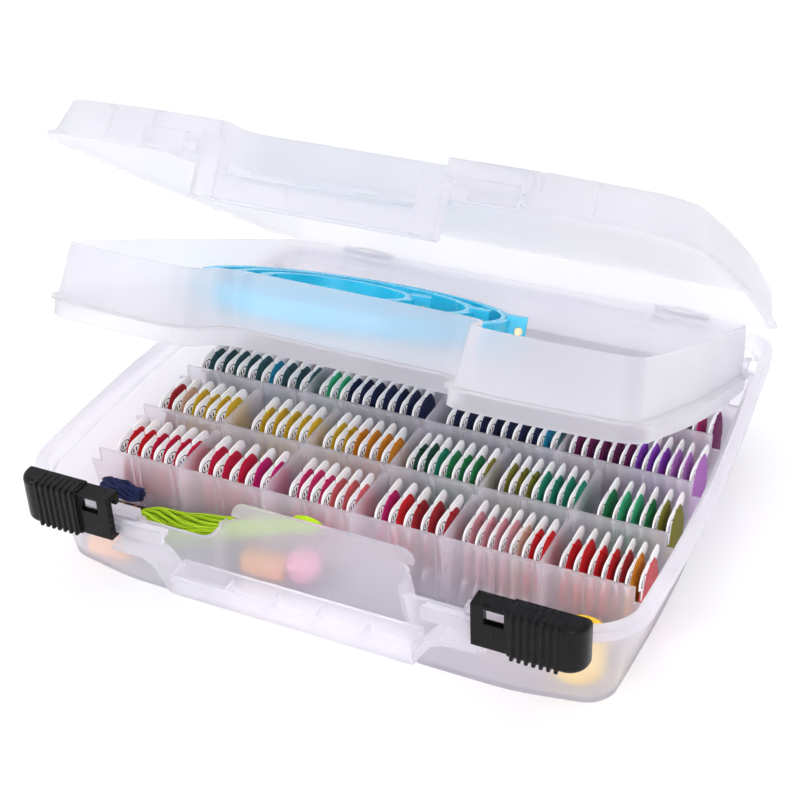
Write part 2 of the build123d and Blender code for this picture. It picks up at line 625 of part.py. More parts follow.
# ---------------------------------------------------------------- latches
def latch(side):
    """One sliding latch: a ribbed grip and a narrower bridge, cut along its length for the two heads."""
    inner = LATCH_INNER_END
    outer = LATCH_INNER_END + LATCH_LENGTH
    bridge_end = inner + LATCH_BRIDGE_LENGTH
    head_front = RAIL_HEAD_FRONT_Y - SLIDE_GAP
    head_rear = RAIL_HEAD_FRONT_Y + RAIL_HEAD_THICKNESS + SLIDE_GAP
    with BuildPart() as body:
        add(mirrored((bridge_end, LATCH_FRONT_Y, LATCH_BOTTOM), (outer, LATCH_REAR_Y, LATCH_TOP), side))
        outer_face = body.faces().sort_by(Axis.X)[-1 if side > 0 else 0]
        front_edges = outer_face.edges().group_by(Axis.Y)[0]
        fillet(front_edges, LATCH_CORNER)
        fillet(body.edges().filter_by(Axis.X).group_by(Axis.Y)[0], LATCH_EDGE)
        add(mirrored((inner, LATCH_FRONT_Y + LATCH_BRIDGE_STEP, LATCH_BOTTOM + LATCH_BRIDGE_STEP / 2),
                     (bridge_end, LATCH_REAR_Y, LATCH_TOP - LATCH_BRIDGE_STEP / 2), side))
        for index in range(GRIP_RIB_COUNT):
            rib = bridge_end + GRIP_RIB_WIDTH + index * GRIP_RIB_PITCH
            add(mirrored((rib, LATCH_FRONT_Y - GRIP_RIB_PROUD, LATCH_BOTTOM - GRIP_RIB_PROUD / 2),
                         (rib + GRIP_RIB_WIDTH, LATCH_FRONT_Y + GRIP_RIB_PROUD, LATCH_TOP + GRIP_RIB_PROUD / 2),
                         side))
            for edge_z in (LATCH_BOTTOM, LATCH_TOP):
                add(mirrored((rib, LATCH_FRONT_Y, edge_z - GRIP_RIB_PROUD / 2),
                             (rib + GRIP_RIB_WIDTH, LATCH_REAR_Y - 2, edge_z + GRIP_RIB_PROUD / 2), side))
        # Room for the rail's head and the lid lug's head, and for their webs
        add(mirrored((inner - 1, head_front, RAIL_HEAD_BOTTOM - SLIDE_GAP),
                     (outer - LATCH_END_WALL, head_rear, LID_LUG_TOP + SLIDE_GAP), side), mode=Mode.SUBTRACT)
        add(mirrored((inner - 1, head_front, RAIL_WEB_BOTTOM - SLIDE_GAP),
                     (outer - LATCH_END_WALL, LATCH_REAR_Y + 1, LID_WEB_BOTTOM + RAIL_WEB_THICKNESS + SLIDE_GAP), side),
            mode=Mode.SUBTRACT)
        # Window through the bridge's top
        add(mirrored((inner + LATCH_BRIDGE_LENGTH - LATCH_WINDOW_LENGTH - 2, LATCH_FRONT_Y - 1,
                      LATCH_TOP - LATCH_WINDOW_HEIGHT - 3),
                     (inner + LATCH_BRIDGE_LENGTH - 2, head_front + 1, LATCH_TOP - 3), side), mode=Mode.SUBTRACT)
    return body.part


write(latch(-1), "latch_left")
write(latch(1), "latch_right")

# ---------------------------------------------------------------- lid
with BuildPart() as lid_shell:
    loft(sections=[lid_sheet(LID_BOTTOM, LID_WALL_INSET, LID_WALL_INSET),
                   lid_sheet(LID_TOP, LID_TOP_INSET_SIDE, LID_TOP_INSET_FRONT)], ruled=True)
    loft(sections=[lid_sheet(LID_BOTTOM, LID_WALL_INSET, LID_WALL_INSET, LID_WALL),
                   lid_sheet(LID_TOP - LID_WALL, LID_TOP_INSET_SIDE, LID_TOP_INSET_FRONT, LID_WALL)],
         ruled=True, mode=Mode.SUBTRACT)
    # Flange round the foot of the wall
    extrude(lid_sheet(LID_BOTTOM, 0, 0) - lid_sheet(LID_BOTTOM, LID_WALL_INSET, LID_WALL_INSET, LID_WALL),
            amount=LID_FLANGE_THICKNESS)
    for side in SIDES:
        # Lug that the latch grips, with its web back to the wall
        lug_outer = LID_LUG_INNER + LID_LUG_LENGTH
        add(mirrored((LID_LUG_INNER, RAIL_HEAD_FRONT_Y, LID_LUG_BOTTOM),
                     (lug_outer, RAIL_HEAD_FRONT_Y + RAIL_HEAD_THICKNESS, LID_LUG_TOP), side))
        add(mirrored((LID_LUG_INNER, RAIL_HEAD_FRONT_Y + RAIL_HEAD_THICKNESS, LID_WEB_BOTTOM),
                     (lug_outer, FRONT_Y + LID_WALL_INSET + 2 * LID_WALL, LID_WEB_BOTTOM + RAIL_WEB_THICKNESS), side))
        # Block over the upper arm: its front, its top and its two ends, open below
        block_inner = LID_BAY_HALF_WIDTH
        block_rear = FRONT_Y + LID_TOP_INSET_FRONT
        add(mirrored((block_inner, ARM_BLOCK_FRONT_Y, LID_LUG_TOP),
                     (lug_outer, ARM_BLOCK_FRONT_Y + LID_WALL, ARM_BLOCK_TOP), side))
        add(mirrored((block_inner, ARM_BLOCK_FRONT_Y + LID_WALL, ARM_BLOCK_TOP - LID_WALL),
                     (lug_outer, block_rear, ARM_BLOCK_TOP), side))
        for low_x in (block_inner, lug_outer - LID_WALL):
            add(mirrored((low_x, ARM_BLOCK_FRONT_Y, LID_LUG_TOP - LID_WALL),
                         (low_x + LID_WALL, block_rear, ARM_BLOCK_TOP), side))
        add(mirrored((block_inner, ARM_BLOCK_FRONT_Y, LID_LUG_TOP - LID_WALL),
                     (lug_outer, FRONT_Y + LID_WALL_INSET + LID_WALL, LID_LUG_TOP), side))
        for index in range(LID_RIB_COUNT):
            rib_x = LID_LUG_INNER + index * LID_RIB_PITCH
            add(mirrored((rib_x, FRONT_Y + LID_TOP_INSET_FRONT - 4, LID_BOTTOM + LID_FLANGE_THICKNESS),
                         (rib_x + LID_WALL, FRONT_Y + LID_TOP_INSET_FRONT + LID_WALL + 1, LID_TOP - LID_WALL), side))
    # Hinge knuckles, bored for the pins
    for middle in (-HINGE_SPACING / 2, HINGE_SPACING / 2):
        with BuildSketch(Plane.YZ.offset(middle - KNUCKLE_LENGTH / 2)):
            with Locations((HINGE_Y, HINGE_Z)):
                Circle(KNUCKLE_RADIUS)
            with Locations(((REAR_Y - 2 + HINGE_Y) / 2, LID_BOTTOM + HINGE_LEAF / 2)):
                Rectangle(HINGE_Y - REAR_Y + 2, HINGE_LEAF)
        extrude(amount=KNUCKLE_LENGTH)
        with BuildSketch(Plane.YZ.offset(middle - KNUCKLE_LENGTH / 2)):
            with Locations((HINGE_Y, HINGE_Z)):
                Circle(HINGE_PIN_RADIUS + HINGE_BORE_CLEARANCE)
        extrude(amount=KNUCKLE_LENGTH, mode=Mode.SUBTRACT)
write(lid_shell.part.rotate(LID_HINGE, LID_OPEN), "lid_shell")

with BuildPart() as lid_handle:
    upper_low = BAR_SPLIT + UPPER_BAR_RISE
    add(bar_half(UPPER_BAR_HALF_LENGTH, upper_low, BAR_TOP, False))
    for side in SIDES:
        arm_rear = BAR_FRONT_Y + UPPER_ARM_DEPTH
        add(mirrored((UPPER_ARM_INNER, BAR_FRONT_Y, upper_low), (UPPER_ARM_OUTER, arm_rear, LID_LUG_TOP), side))
        add(mirrored((UPPER_ARM_INNER + BAR_WALL, BAR_FRONT_Y + BAR_WALL, BAR_SPLIT),
                     (UPPER_ARM_OUTER - BAR_WALL, arm_rear + 1, LID_BOTTOM), side), mode=Mode.SUBTRACT)
        add(mirrored((UPPER_ARM_INNER, arm_rear, LID_LUG_TOP - LID_WALL), (UPPER_ARM_OUTER, FRONT_Y, LID_LUG_TOP),
                     side))
        add(mirrored((UPPER_ARM_INNER, arm_rear, LID_BOTTOM), (UPPER_ARM_OUTER, FRONT_Y, LID_BOTTOM + LID_WALL),
                     side))
    add(lid_shell.part, mode=Mode.SUBTRACT)
write(lid_handle.part.rotate(LID_HINGE, LID_OPEN), "lid_handle")

# ---------------------------------------------------------------- tray
with BuildPart() as flip_tray:
    # Walls with their floor
    loft(sections=[tray_wall_sheet(TRAY_FLOOR_TOP, 0), tray_wall_sheet(TRAY_TOP, TRAY_DRAFT)], ruled=True)
    loft(sections=[tray_wall_sheet(TRAY_FLOOR_TOP, TRAY_WALL), tray_wall_sheet(TRAY_TOP, TRAY_DRAFT + TRAY_WALL)],
         ruled=True, mode=Mode.SUBTRACT)
    extrude(tray_sheet(TRAY_FLANGE_BOTTOM, (0, 0, 0), 0, 0), amount=TRAY_FLOOR)
    # Skirt below the flange
    skirt_inner = SKIRT_INSET + SKIRT_WALL
    extrude(tray_sheet(TRAY_FLANGE_BOTTOM - SKIRT_DROP, (SKIRT_INSET,) * 3, SKIRT_INSET, SKIRT_INSET)
            - tray_sheet(TRAY_FLANGE_BOTTOM - SKIRT_DROP, (skirt_inner,) * 3, skirt_inner, skirt_inner),
            amount=SKIRT_DROP)
    # Ears on the flange, bored for the pivot pins
    ear_outer = 0.0
    for side in SIDES:
        sweep = (PIVOT_Y - WIDEST_Y) / (REAR_Y - WIDEST_Y)
        flange_middle = HALF_WIDTH - TRAY_FLANGE_INSET[1]
        flange_rear = HALF_WIDTH_REAR - TRAY_FLANGE_INSET[2]
        ear_outer = flange_middle - (flange_middle - flange_rear) * sweep - EAR_GAP
        low_x = ear_outer - EAR_THICKNESS if side > 0 else -ear_outer
        with BuildSketch(Plane.YZ.offset(low_x)):
            with Locations((PIVOT_Y, PIVOT_Z)):
                Circle(EAR_RADIUS)
            with Locations((PIVOT_Y, (PIVOT_Z + TRAY_FLANGE_BOTTOM) / 2)):
                Rectangle(2 * EAR_RADIUS, PIVOT_Z - TRAY_FLANGE_BOTTOM)
            with Locations((PIVOT_Y, PIVOT_Z)):
                Circle(PIVOT_RADIUS + PIVOT_CLEARANCE, mode=Mode.SUBTRACT)
        extrude(amount=EAR_THICKNESS)
write(flip_tray.part.rotate(TRAY_PIVOT, TRAY_OPEN), "flip_tray")

with BuildPart() as tray_pivot_pins:
    for side in SIDES:
        for radius, start in ((PIVOT_RADIUS, ear_outer - EAR_THICKNESS - 1), (PIVOT_BOSS_RADIUS, ear_outer + EAR_GAP)):
            low_x = start if side > 0 else -HALF_WIDTH
            with BuildSketch(Plane.YZ.offset(low_x)):
                with Locations((PIVOT_Y, PIVOT_Z)):
                    Circle(radius)
            extrude(amount=HALF_WIDTH - start)
    extrude(rim_sheet(WALL_TOP, RIM_INNER_INSET), amount=TUB_HEIGHT - WALL_TOP, mode=Mode.INTERSECT)
    add(base_tub.part, mode=Mode.SUBTRACT)
write(tray_pivot_pins.part, "tray_pivot_pins")


# ---------------------------------------------------------------- hoops
def hoop_ring(x, y, radius, wall):
    """Plain ring on the tray's floor."""
    with BuildPart() as ring:
        with BuildSketch(Plane.XY.offset(TRAY_FLOOR_TOP + HOOP_RESTS)):
            with Locations((x, y)):
                Circle(radius)
                Circle(radius - wall, mode=Mode.SUBTRACT)
        extrude(amount=HOOP_HEIGHT)
    return ring.part


def clamp_plane(x, y, radius, angle):
    """Plane at a hoop's clamp: origin on the ring's outer face, x along the radius, z up."""
    direction = (math.cos(math.radians(angle)), math.sin(math.radians(angle)), 0)
    origin = (x + radius * direction[0], y + radius * direction[1], TRAY_FLOOR_TOP + HOOP_RESTS)
    return Plane(origin=origin, x_dir=direction, z_dir=(0, 0, 1))


for size, (x, y, radius, angle) in HOOPS.items():
    inner_radius = radius - HOOP_RING_WALL - HOOP_RING_GAP
    write(hoop_ring(x, y, inner_radius, HOOP_RING_WALL).rotate(TRAY_PIVOT, TRAY_OPEN), "hoop_" + size + "_inner")
    clamp = clamp_plane(x, y, radius, angle)
    with BuildPart() as outer_ring:
        add(hoop_ring(x, y, radius, HOOP_RING_WALL))
        # Two clamp lugs with a split between them
        with BuildSketch(clamp):
            with Locations(((CLAMP_LENGTH - HOOP_RING_WALL) / 2, 0)):
                Rectangle(CLAMP_LENGTH + HOOP_RING_WALL - 1, 2 * CLAMP_WIDTH + CLAMP_SPLIT)
        extrude(amount=HOOP_HEIGHT + CLAMP_RISE)
        with BuildSketch(clamp.offset(-1)):
            with Locations((CLAMP_LENGTH / 2, 0)):
                Rectangle(CLAMP_LENGTH + 4 * HOOP_RING_WALL, CLAMP_SPLIT)
        extrude(amount=HOOP_HEIGHT + CLAMP_RISE + 2, mode=Mode.SUBTRACT)
        with BuildSketch(Plane.XY.offset(TRAY_FLOOR_TOP)):
            with Locations((x, y)):
                Circle(radius - HOOP_RING_WALL)
        extrude(amount=HOOP_HEIGHT + CLAMP_RISE + 2, mode=Mode.SUBTRACT)
        screw_origin = clamp * Pos(CLAMP_LENGTH * 0.55, 0, HOOP_HEIGHT / 2)
        screw_plane = Plane(origin=screw_origin.position, z_dir=clamp.y_dir)
        with BuildSketch(screw_plane):
            Circle(SCREW_RADIUS)
        extrude(amount=CLAMP_LENGTH, both=True, mode=Mode.SUBTRACT)
    write(outer_ring.part.rotate(TRAY_PIVOT, TRAY_OPEN), "hoop_" + size + "_outer")

with BuildPart() as hoop_screws:
    for x, y, radius, angle in HOOPS.values():
        clamp = clamp_plane(x, y, radius, angle)
        screw_origin = clamp * Pos(CLAMP_LENGTH * 0.55, 0, HOOP_HEIGHT / 2)
        half_grip = CLAMP_WIDTH + CLAMP_SPLIT / 2
        screw_plane = Plane(origin=screw_origin.position, z_dir=clamp.y_dir)
        with BuildSketch(screw_plane):
            Circle(SCREW_RADIUS)
        extrude(amount=half_grip, both=True)
        for end in SIDES:
            with BuildSketch(screw_plane.offset(end * half_grip)):
                Circle(SCREW_HEAD_RADIUS)
            extrude(amount=end * SCREW_HEAD_THICKNESS)
write(hoop_screws.part.rotate(TRAY_PIVOT, TRAY_OPEN), "hoop_screws")
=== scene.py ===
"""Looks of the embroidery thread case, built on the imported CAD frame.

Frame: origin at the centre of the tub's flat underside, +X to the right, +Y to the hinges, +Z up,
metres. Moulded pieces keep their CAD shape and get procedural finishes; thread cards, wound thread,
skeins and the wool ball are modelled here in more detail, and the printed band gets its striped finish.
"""
import logging
import math
from dataclasses import dataclass, field
from enum import Enum

import bpy
import numpy as np
from mathutils import Matrix, Vector


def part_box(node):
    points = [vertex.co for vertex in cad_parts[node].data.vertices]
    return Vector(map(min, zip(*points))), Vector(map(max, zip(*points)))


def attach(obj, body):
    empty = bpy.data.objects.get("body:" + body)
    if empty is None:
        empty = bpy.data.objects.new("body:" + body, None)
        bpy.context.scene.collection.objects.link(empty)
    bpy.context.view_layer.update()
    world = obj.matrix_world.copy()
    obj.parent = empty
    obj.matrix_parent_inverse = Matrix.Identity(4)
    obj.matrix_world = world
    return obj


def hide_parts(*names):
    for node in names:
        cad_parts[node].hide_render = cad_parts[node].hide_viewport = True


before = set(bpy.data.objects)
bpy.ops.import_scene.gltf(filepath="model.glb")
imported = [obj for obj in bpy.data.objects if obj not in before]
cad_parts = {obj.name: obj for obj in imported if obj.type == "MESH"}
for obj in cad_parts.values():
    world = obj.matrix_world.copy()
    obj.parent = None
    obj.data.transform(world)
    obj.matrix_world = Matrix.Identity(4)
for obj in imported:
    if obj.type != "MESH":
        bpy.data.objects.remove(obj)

LOG = logging.getLogger("thread_case")
MM = 0.001
Colour = tuple[float, float, float, float]


# ------------------------------------------------------------------ options and finishes
class PlasticKind(Enum):
    """Which frosted finish a moulded piece takes."""

    LID = "frosted_lid"
    SHELL = "frosted_plastic"
    WALL = "frosted_wall"


@dataclass(frozen=True)
class FrostedFinish:
    """Milky, light-passing polypropylene."""

    tint: Colour
    shade: Colour
    clarity: float
    glow: float
    light_passed: float
    roughness: tuple[float, float]
    ior: float
    grain_height: float = 0.00003
    edge_radius: float = 0.0011


@dataclass(frozen=True)
class SolidFinish:
    """Opaque finish with a soft variation of colour and roughness."""

    low: Colour
    high: Colour
    roughness: tuple[float, float]
    cloud_scale: float = 60.0
    grain_height: float = 0.00002
    grain_scale: float = 1500.0
    edge_radius: float = 0.0008
    metallic: float = 0.0
    coat: float = 0.0
    sheen: float = 0.0
    subsurface: float = 0.0
    specular: float = 0.5


@dataclass(frozen=True)
class YarnFinish:
    """Stranded cotton; its colour runs from low, a painted shade in the creases between strands, to high, a
    painted highlight on their crowns.
    """

    low: Colour
    high: Colour
    strand_pitch: float = 0.0012
    strand_depth: float = 0.0005
    roughness: float = 0.55
    sheen: float = 0.03


@dataclass(frozen=True)
class CardFinish:
    """White card with a plain oval printed at its front lobe."""

    low: Colour = (0.86, 0.85, 0.84, 1.0)
    high: Colour = (0.95, 0.945, 0.94, 1.0)
    ink: Colour = (0.02, 0.02, 0.03, 1.0)
    roughness: tuple[float, float] = (0.5, 0.65)


FROSTED = {
    PlasticKind.LID: FrostedFinish((0.93, 0.925, 0.95, 1.0), (0.905, 0.898, 0.93, 1.0), 0.88, 0.16, 0.9,
                                   (0.34, 0.44), 1.16),
    PlasticKind.SHELL: FrostedFinish((0.965, 0.955, 0.985, 1.0), (0.945, 0.932, 0.972, 1.0), 0.88, 0.16, 0.9,
                                     (0.34, 0.44), 1.16),
    PlasticKind.WALL: FrostedFinish((0.985, 0.968, 0.998, 1.0), (0.972, 0.952, 0.99, 1.0), 0.88, 0.2, 0.9,
                                    (0.3, 0.4), 1.16),
}
BLACK_PLASTIC = SolidFinish((0.002, 0.002, 0.0024, 1.0), (0.004, 0.004, 0.0046, 1.0), (0.24, 0.32), 90.0,
                            0.00002, 2600.0, 0.0013, specular=0.17)
HOOP_BLUE = SolidFinish((0.015, 0.52, 0.8, 1.0), (0.04, 0.63, 0.9, 1.0), (0.2, 0.3), 40.0, 0.00001, 900.0,
                        0.001, subsurface=0.15)
BRASS = SolidFinish((0.62, 0.47, 0.27, 1.0), (0.8, 0.66, 0.42, 1.0), (0.25, 0.38), 220.0, metallic=1.0,
                    edge_radius=0.0003)
PIN_PLASTIC = SolidFinish((0.86, 0.87, 0.9, 1.0), (0.92, 0.92, 0.95, 1.0), (0.4, 0.5))
PIN_STEEL = SolidFinish((0.5, 0.5, 0.52, 1.0), (0.68, 0.68, 0.7, 1.0), (0.25, 0.35), metallic=1.0)
PACKET_ORANGE = SolidFinish((0.93, 0.36, 0.13, 1.0), (0.97, 0.56, 0.28, 1.0), (0.4, 0.55), 35.0, 0.0004,
                            130.0)
TAPE_YELLOW = SolidFinish((0.93, 0.58, 0.02, 1.0), (0.98, 0.7, 0.06, 1.0), (0.25, 0.4), 60.0)
FLOOR_FINISH = SolidFinish((0.93, 0.93, 0.935, 1.0), (0.95, 0.95, 0.955, 1.0), (0.7, 0.8), 2.0,
                           0.00002, 200.0)

BAND_BLACK: Colour = (0.008, 0.008, 0.012, 1.0)
BAND_GOLD: Colour = (0.5, 0.27, 0.09, 1.0)
WORLD_COLOUR: Colour = (0.99, 0.985, 1.0, 1.0)
WORLD_STRENGTH = 0.85
# Painted shade in the creases between strands and painted highlight on their crowns, as shares of the
# cotton's own colour
CREASE_PAINTED_SHADE = 0.7      # colour in the creases between strands, as a share of the cotton's own
CROWN_PAINTED_HIGHLIGHT = 1.2       # the same on the crowns of the strands

# Thread colours by name: base colour of the cotton
THREAD_COLOURS: dict[str, tuple[float, float, float]] = {
    "red": (0.92, 0.008, 0.015), "crimson": (0.78, 0.004, 0.06), "magenta": (0.72, 0.004, 0.2),
    "rose": (0.93, 0.03, 0.2), "coral": (0.94, 0.15, 0.16), "pink": (0.94, 0.36, 0.42),
    "peach": (0.94, 0.55, 0.4), "brick": (0.5, 0.015, 0.025), "orange": (0.95, 0.3, 0.01),
    "yellow": (0.95, 0.54, 0.02), "forest": (0.01, 0.1, 0.05), "green": (0.01, 0.27, 0.08),
    "mint": (0.04, 0.56, 0.26), "olive": (0.27, 0.25, 0.02), "teal": (0.004, 0.3, 0.17),
    "turquoise": (0.005, 0.32, 0.58), "slate": (0.04, 0.12, 0.14), "navy": (0.012, 0.02, 0.09),
    "plum": (0.2, 0.01, 0.12), "purple": (0.32, 0.05, 0.62), "lilac": (0.62, 0.22, 0.72),
}


# ------------------------------------------------------------------ shader node groups
class Nodes:
    """Small helper round one node tree."""

    def __init__(self, tree: bpy.types.NodeTree) -> None:
        """Keeps the tree.

        Args:
            tree: the node tree the helper adds to.
        """
        self.tree = tree

    def add(self, kind: str, **settings: object) -> bpy.types.Node:
        """Adds a node.

        Args:
            kind: the node's type name.
            **settings: attributes set on the node.

        Returns:
            The new node.
        """
        node = self.tree.nodes.new(kind)
        for name, value in settings.items():
            setattr(node, name, value)
        return node

    def join(self, source: bpy.types.NodeSocket, target: bpy.types.NodeSocket) -> None:
        """Links two sockets.

        Args:
            source: output socket.
            target: input socket.
        """
        self.tree.links.new(source, target)

    def math(self, operation: str, first: object, second: object = 0.0) -> bpy.types.NodeSocket:
        """Adds a maths node.

        Args:
            operation: name of the operation.
            first: socket or number for the first operand.
            second: socket or number for the second operand.

        Returns:
            The result's socket.
        """
        node = self.add("ShaderNodeMath", operation=operation)
        for index, operand in enumerate((first, second)):
            if isinstance(operand, bpy.types.NodeSocket):
                self.join(operand, node.inputs[index])
            else:
                node.inputs[index].default_value = operand
        return node.outputs[0]


def new_group(name: str, inputs: dict[str, float], outputs: dict[str, str]) -> tuple[Nodes, object, object]:
    """Starts a shader node group.

    Args:
        name: the group's name.
        inputs: name and default of each float input.
        outputs: name and socket type of each output.

    Returns:
        The helper on the group's tree, its input node and its output node.
    """
    tree = bpy.data.node_groups.new(name, "ShaderNodeTree")
    for socket, default in inputs.items():
        made = tree.interface.new_socket(name=socket, in_out="INPUT", socket_type="NodeSocketFloat")
        made.default_value = default
    for socket, kind in outputs.items():
        tree.interface.new_socket(name=socket, in_out="OUTPUT", socket_type=kind)
    helper = Nodes(tree)
    return helper, helper.add("NodeGroupInput"), helper.add("NodeGroupOutput")


def cloud_group() -> bpy.types.NodeTree:
    """Soft cloudy value between 0 and 1 in object space.

    Returns:
        The node group.
    """
    nodes, source, sink = new_group("CloudField", {"Scale": 40.0, "Detail": 3.0},
                                    {"Value": "NodeSocketFloat"})
    place = nodes.add("ShaderNodeTexCoord")
    noise = nodes.add("ShaderNodeTexNoise")
    nodes.join(place.outputs["Object"], noise.inputs["Vector"])
    nodes.join(source.outputs["Scale"], noise.inputs["Scale"])
    nodes.join(source.outputs["Detail"], noise.inputs["Detail"])
    spread = nodes.add("ShaderNodeMapRange")
    spread.inputs["From Min"].default_value = 0.3
    spread.inputs["From Max"].default_value = 0.7
    nodes.join(noise.outputs[0], spread.inputs["Value"])
    nodes.join(spread.outputs[0], sink.inputs["Value"])
    return nodes.tree


def moulded_normal_group() -> bpy.types.NodeTree:
    """Normal of a moulded surface: rounded edges and a fine grain.

    Returns:
        The node group.
    """
    nodes, source, sink = new_group("MouldedNormal",
                                    {"Edge": 0.001, "Grain scale": 1500.0, "Grain height": 0.00002},
                                    {"Normal": "NodeSocketVector"})
    rounded = nodes.add("ShaderNodeBevel", samples=4)
    nodes.join(source.outputs["Edge"], rounded.inputs["Radius"])
    place = nodes.add("ShaderNodeTexCoord")
    noise = nodes.add("ShaderNodeTexNoise")
    nodes.join(place.outputs["Object"], noise.inputs["Vector"])
    nodes.join(source.outputs["Grain scale"], noise.inputs["Scale"])
    bump = nodes.add("ShaderNodeBump")
    nodes.join(noise.outputs[0], bump.inputs["Height"])
    nodes.join(source.outputs["Grain height"], bump.inputs["Distance"])
    nodes.join(rounded.outputs[0], bump.inputs["Normal"])
    nodes.join(bump.outputs[0], sink.inputs["Normal"])
    return nodes.tree


def strand_group() -> bpy.types.NodeTree:
    """Twisted strands across the V coordinate, which is in metres along the stack of strands.

    Returns:
        The node group, with a height value, which the yarn also uses for painted shade in the creases, and a
        normal.
    """
    nodes, source, sink = new_group("StrandLines", {"Pitch": 0.0006, "Depth": 0.00025},
                                    {"Value": "NodeSocketFloat", "Normal": "NodeSocketVector"})
    place = nodes.add("ShaderNodeTexCoord")
    split = nodes.add("ShaderNodeSeparateXYZ")
    nodes.join(place.outputs["UV"], split.inputs[0])
    drift = nodes.add("ShaderNodeTexNoise")
    drift.inputs["Scale"].default_value = 170.0
    nodes.join(place.outputs["Object"], drift.inputs["Vector"])
    wander = nodes.math("MULTIPLY", drift.outputs[0], 0.0016)
    along = nodes.math("ADD", split.outputs["Y"], wander)
    turns = nodes.math("DIVIDE", along, source.outputs["Pitch"])
    wave = nodes.math("ABSOLUTE", nodes.math("SINE", nodes.math("MULTIPLY", turns, math.pi)))
    twist = nodes.math("MULTIPLY", nodes.math("SUBTRACT", nodes.math("MULTIPLY", turns, 9.0),
                                              nodes.math("MULTIPLY", split.outputs["X"], 60.0)), math.pi)
    ply = nodes.math("MULTIPLY", nodes.math("ABSOLUTE", nodes.math("SINE", twist)), 0.25)
    height = nodes.math("ADD", wave, ply)
    bump = nodes.add("ShaderNodeBump")
    nodes.join(height, bump.inputs["Height"])
    nodes.join(source.outputs["Depth"], bump.inputs["Distance"])
    nodes.join(height, sink.inputs["Value"])
    nodes.join(bump.outputs[0], sink.inputs["Normal"])
    return nodes.tree


def oval_print_group() -> bpy.types.NodeTree:
    """Ink mask of a plain oval ring with short upright bars inside, in UV millimetres.

    The distance from the centre, with U and V divided by the oval's two half widths, is 1 on its
    outline. The ring lies just inside it, and the bars come from a sine along U.


    Returns:
        The node group.
    """
    nodes, source, sink = new_group("OvalPrint", {"Centre U": 7.4, "Centre V": 38.6},
                                    {"Mask": "NodeSocketFloat"})
    place = nodes.add("ShaderNodeTexCoord")
    split = nodes.add("ShaderNodeSeparateXYZ")
    nodes.join(place.outputs["UV"], split.inputs[0])
    across = nodes.math("DIVIDE", nodes.math("SUBTRACT", split.outputs["X"], source.outputs["Centre U"]), 5.2)
    upward = nodes.math("DIVIDE", nodes.math("SUBTRACT", split.outputs["Y"], source.outputs["Centre V"]), 3.4)
    reach = nodes.math("SQRT", nodes.math("ADD", nodes.math("POWER", nodes.math("ABSOLUTE", across), 2.0),
                                          nodes.math("POWER", nodes.math("ABSOLUTE", upward), 2.0)))
    ring = nodes.math("LESS_THAN", nodes.math("ABSOLUTE", nodes.math("SUBTRACT", reach, 0.9)), 0.09)
    inside = nodes.math("LESS_THAN", reach, 0.66)
    bars = nodes.math("GREATER_THAN", nodes.math("SINE", nodes.math("MULTIPLY", across, 11.0)), 0.15)
    band = nodes.math("LESS_THAN", nodes.math("ABSOLUTE", upward), 0.42)
    marks = nodes.math("MULTIPLY", nodes.math("MULTIPLY", inside, bars), band)
    nodes.join(nodes.math("MAXIMUM", ring, marks), sink.inputs["Mask"])
    return nodes.tree


def stripe_group() -> bpy.types.NodeTree:
    """Mask of the printed band's plain stripes along X.

    Returns:
        The node group.
    """
    nodes, source, sink = new_group("BandStripes", {"Pitch": 0.0086}, {"Mask": "NodeSocketFloat"})
    place = nodes.add("ShaderNodeTexCoord")
    split = nodes.add("ShaderNodeSeparateXYZ")
    nodes.join(place.outputs["Object"], split.inputs[0])
    turns = nodes.math("FRACT", nodes.math("DIVIDE", nodes.math("ADD", split.outputs["X"], 1.0),
                                           source.outputs["Pitch"]))
    nodes.join(nodes.math("LESS_THAN", turns, 0.3), sink.inputs["Mask"])
    return nodes.tree


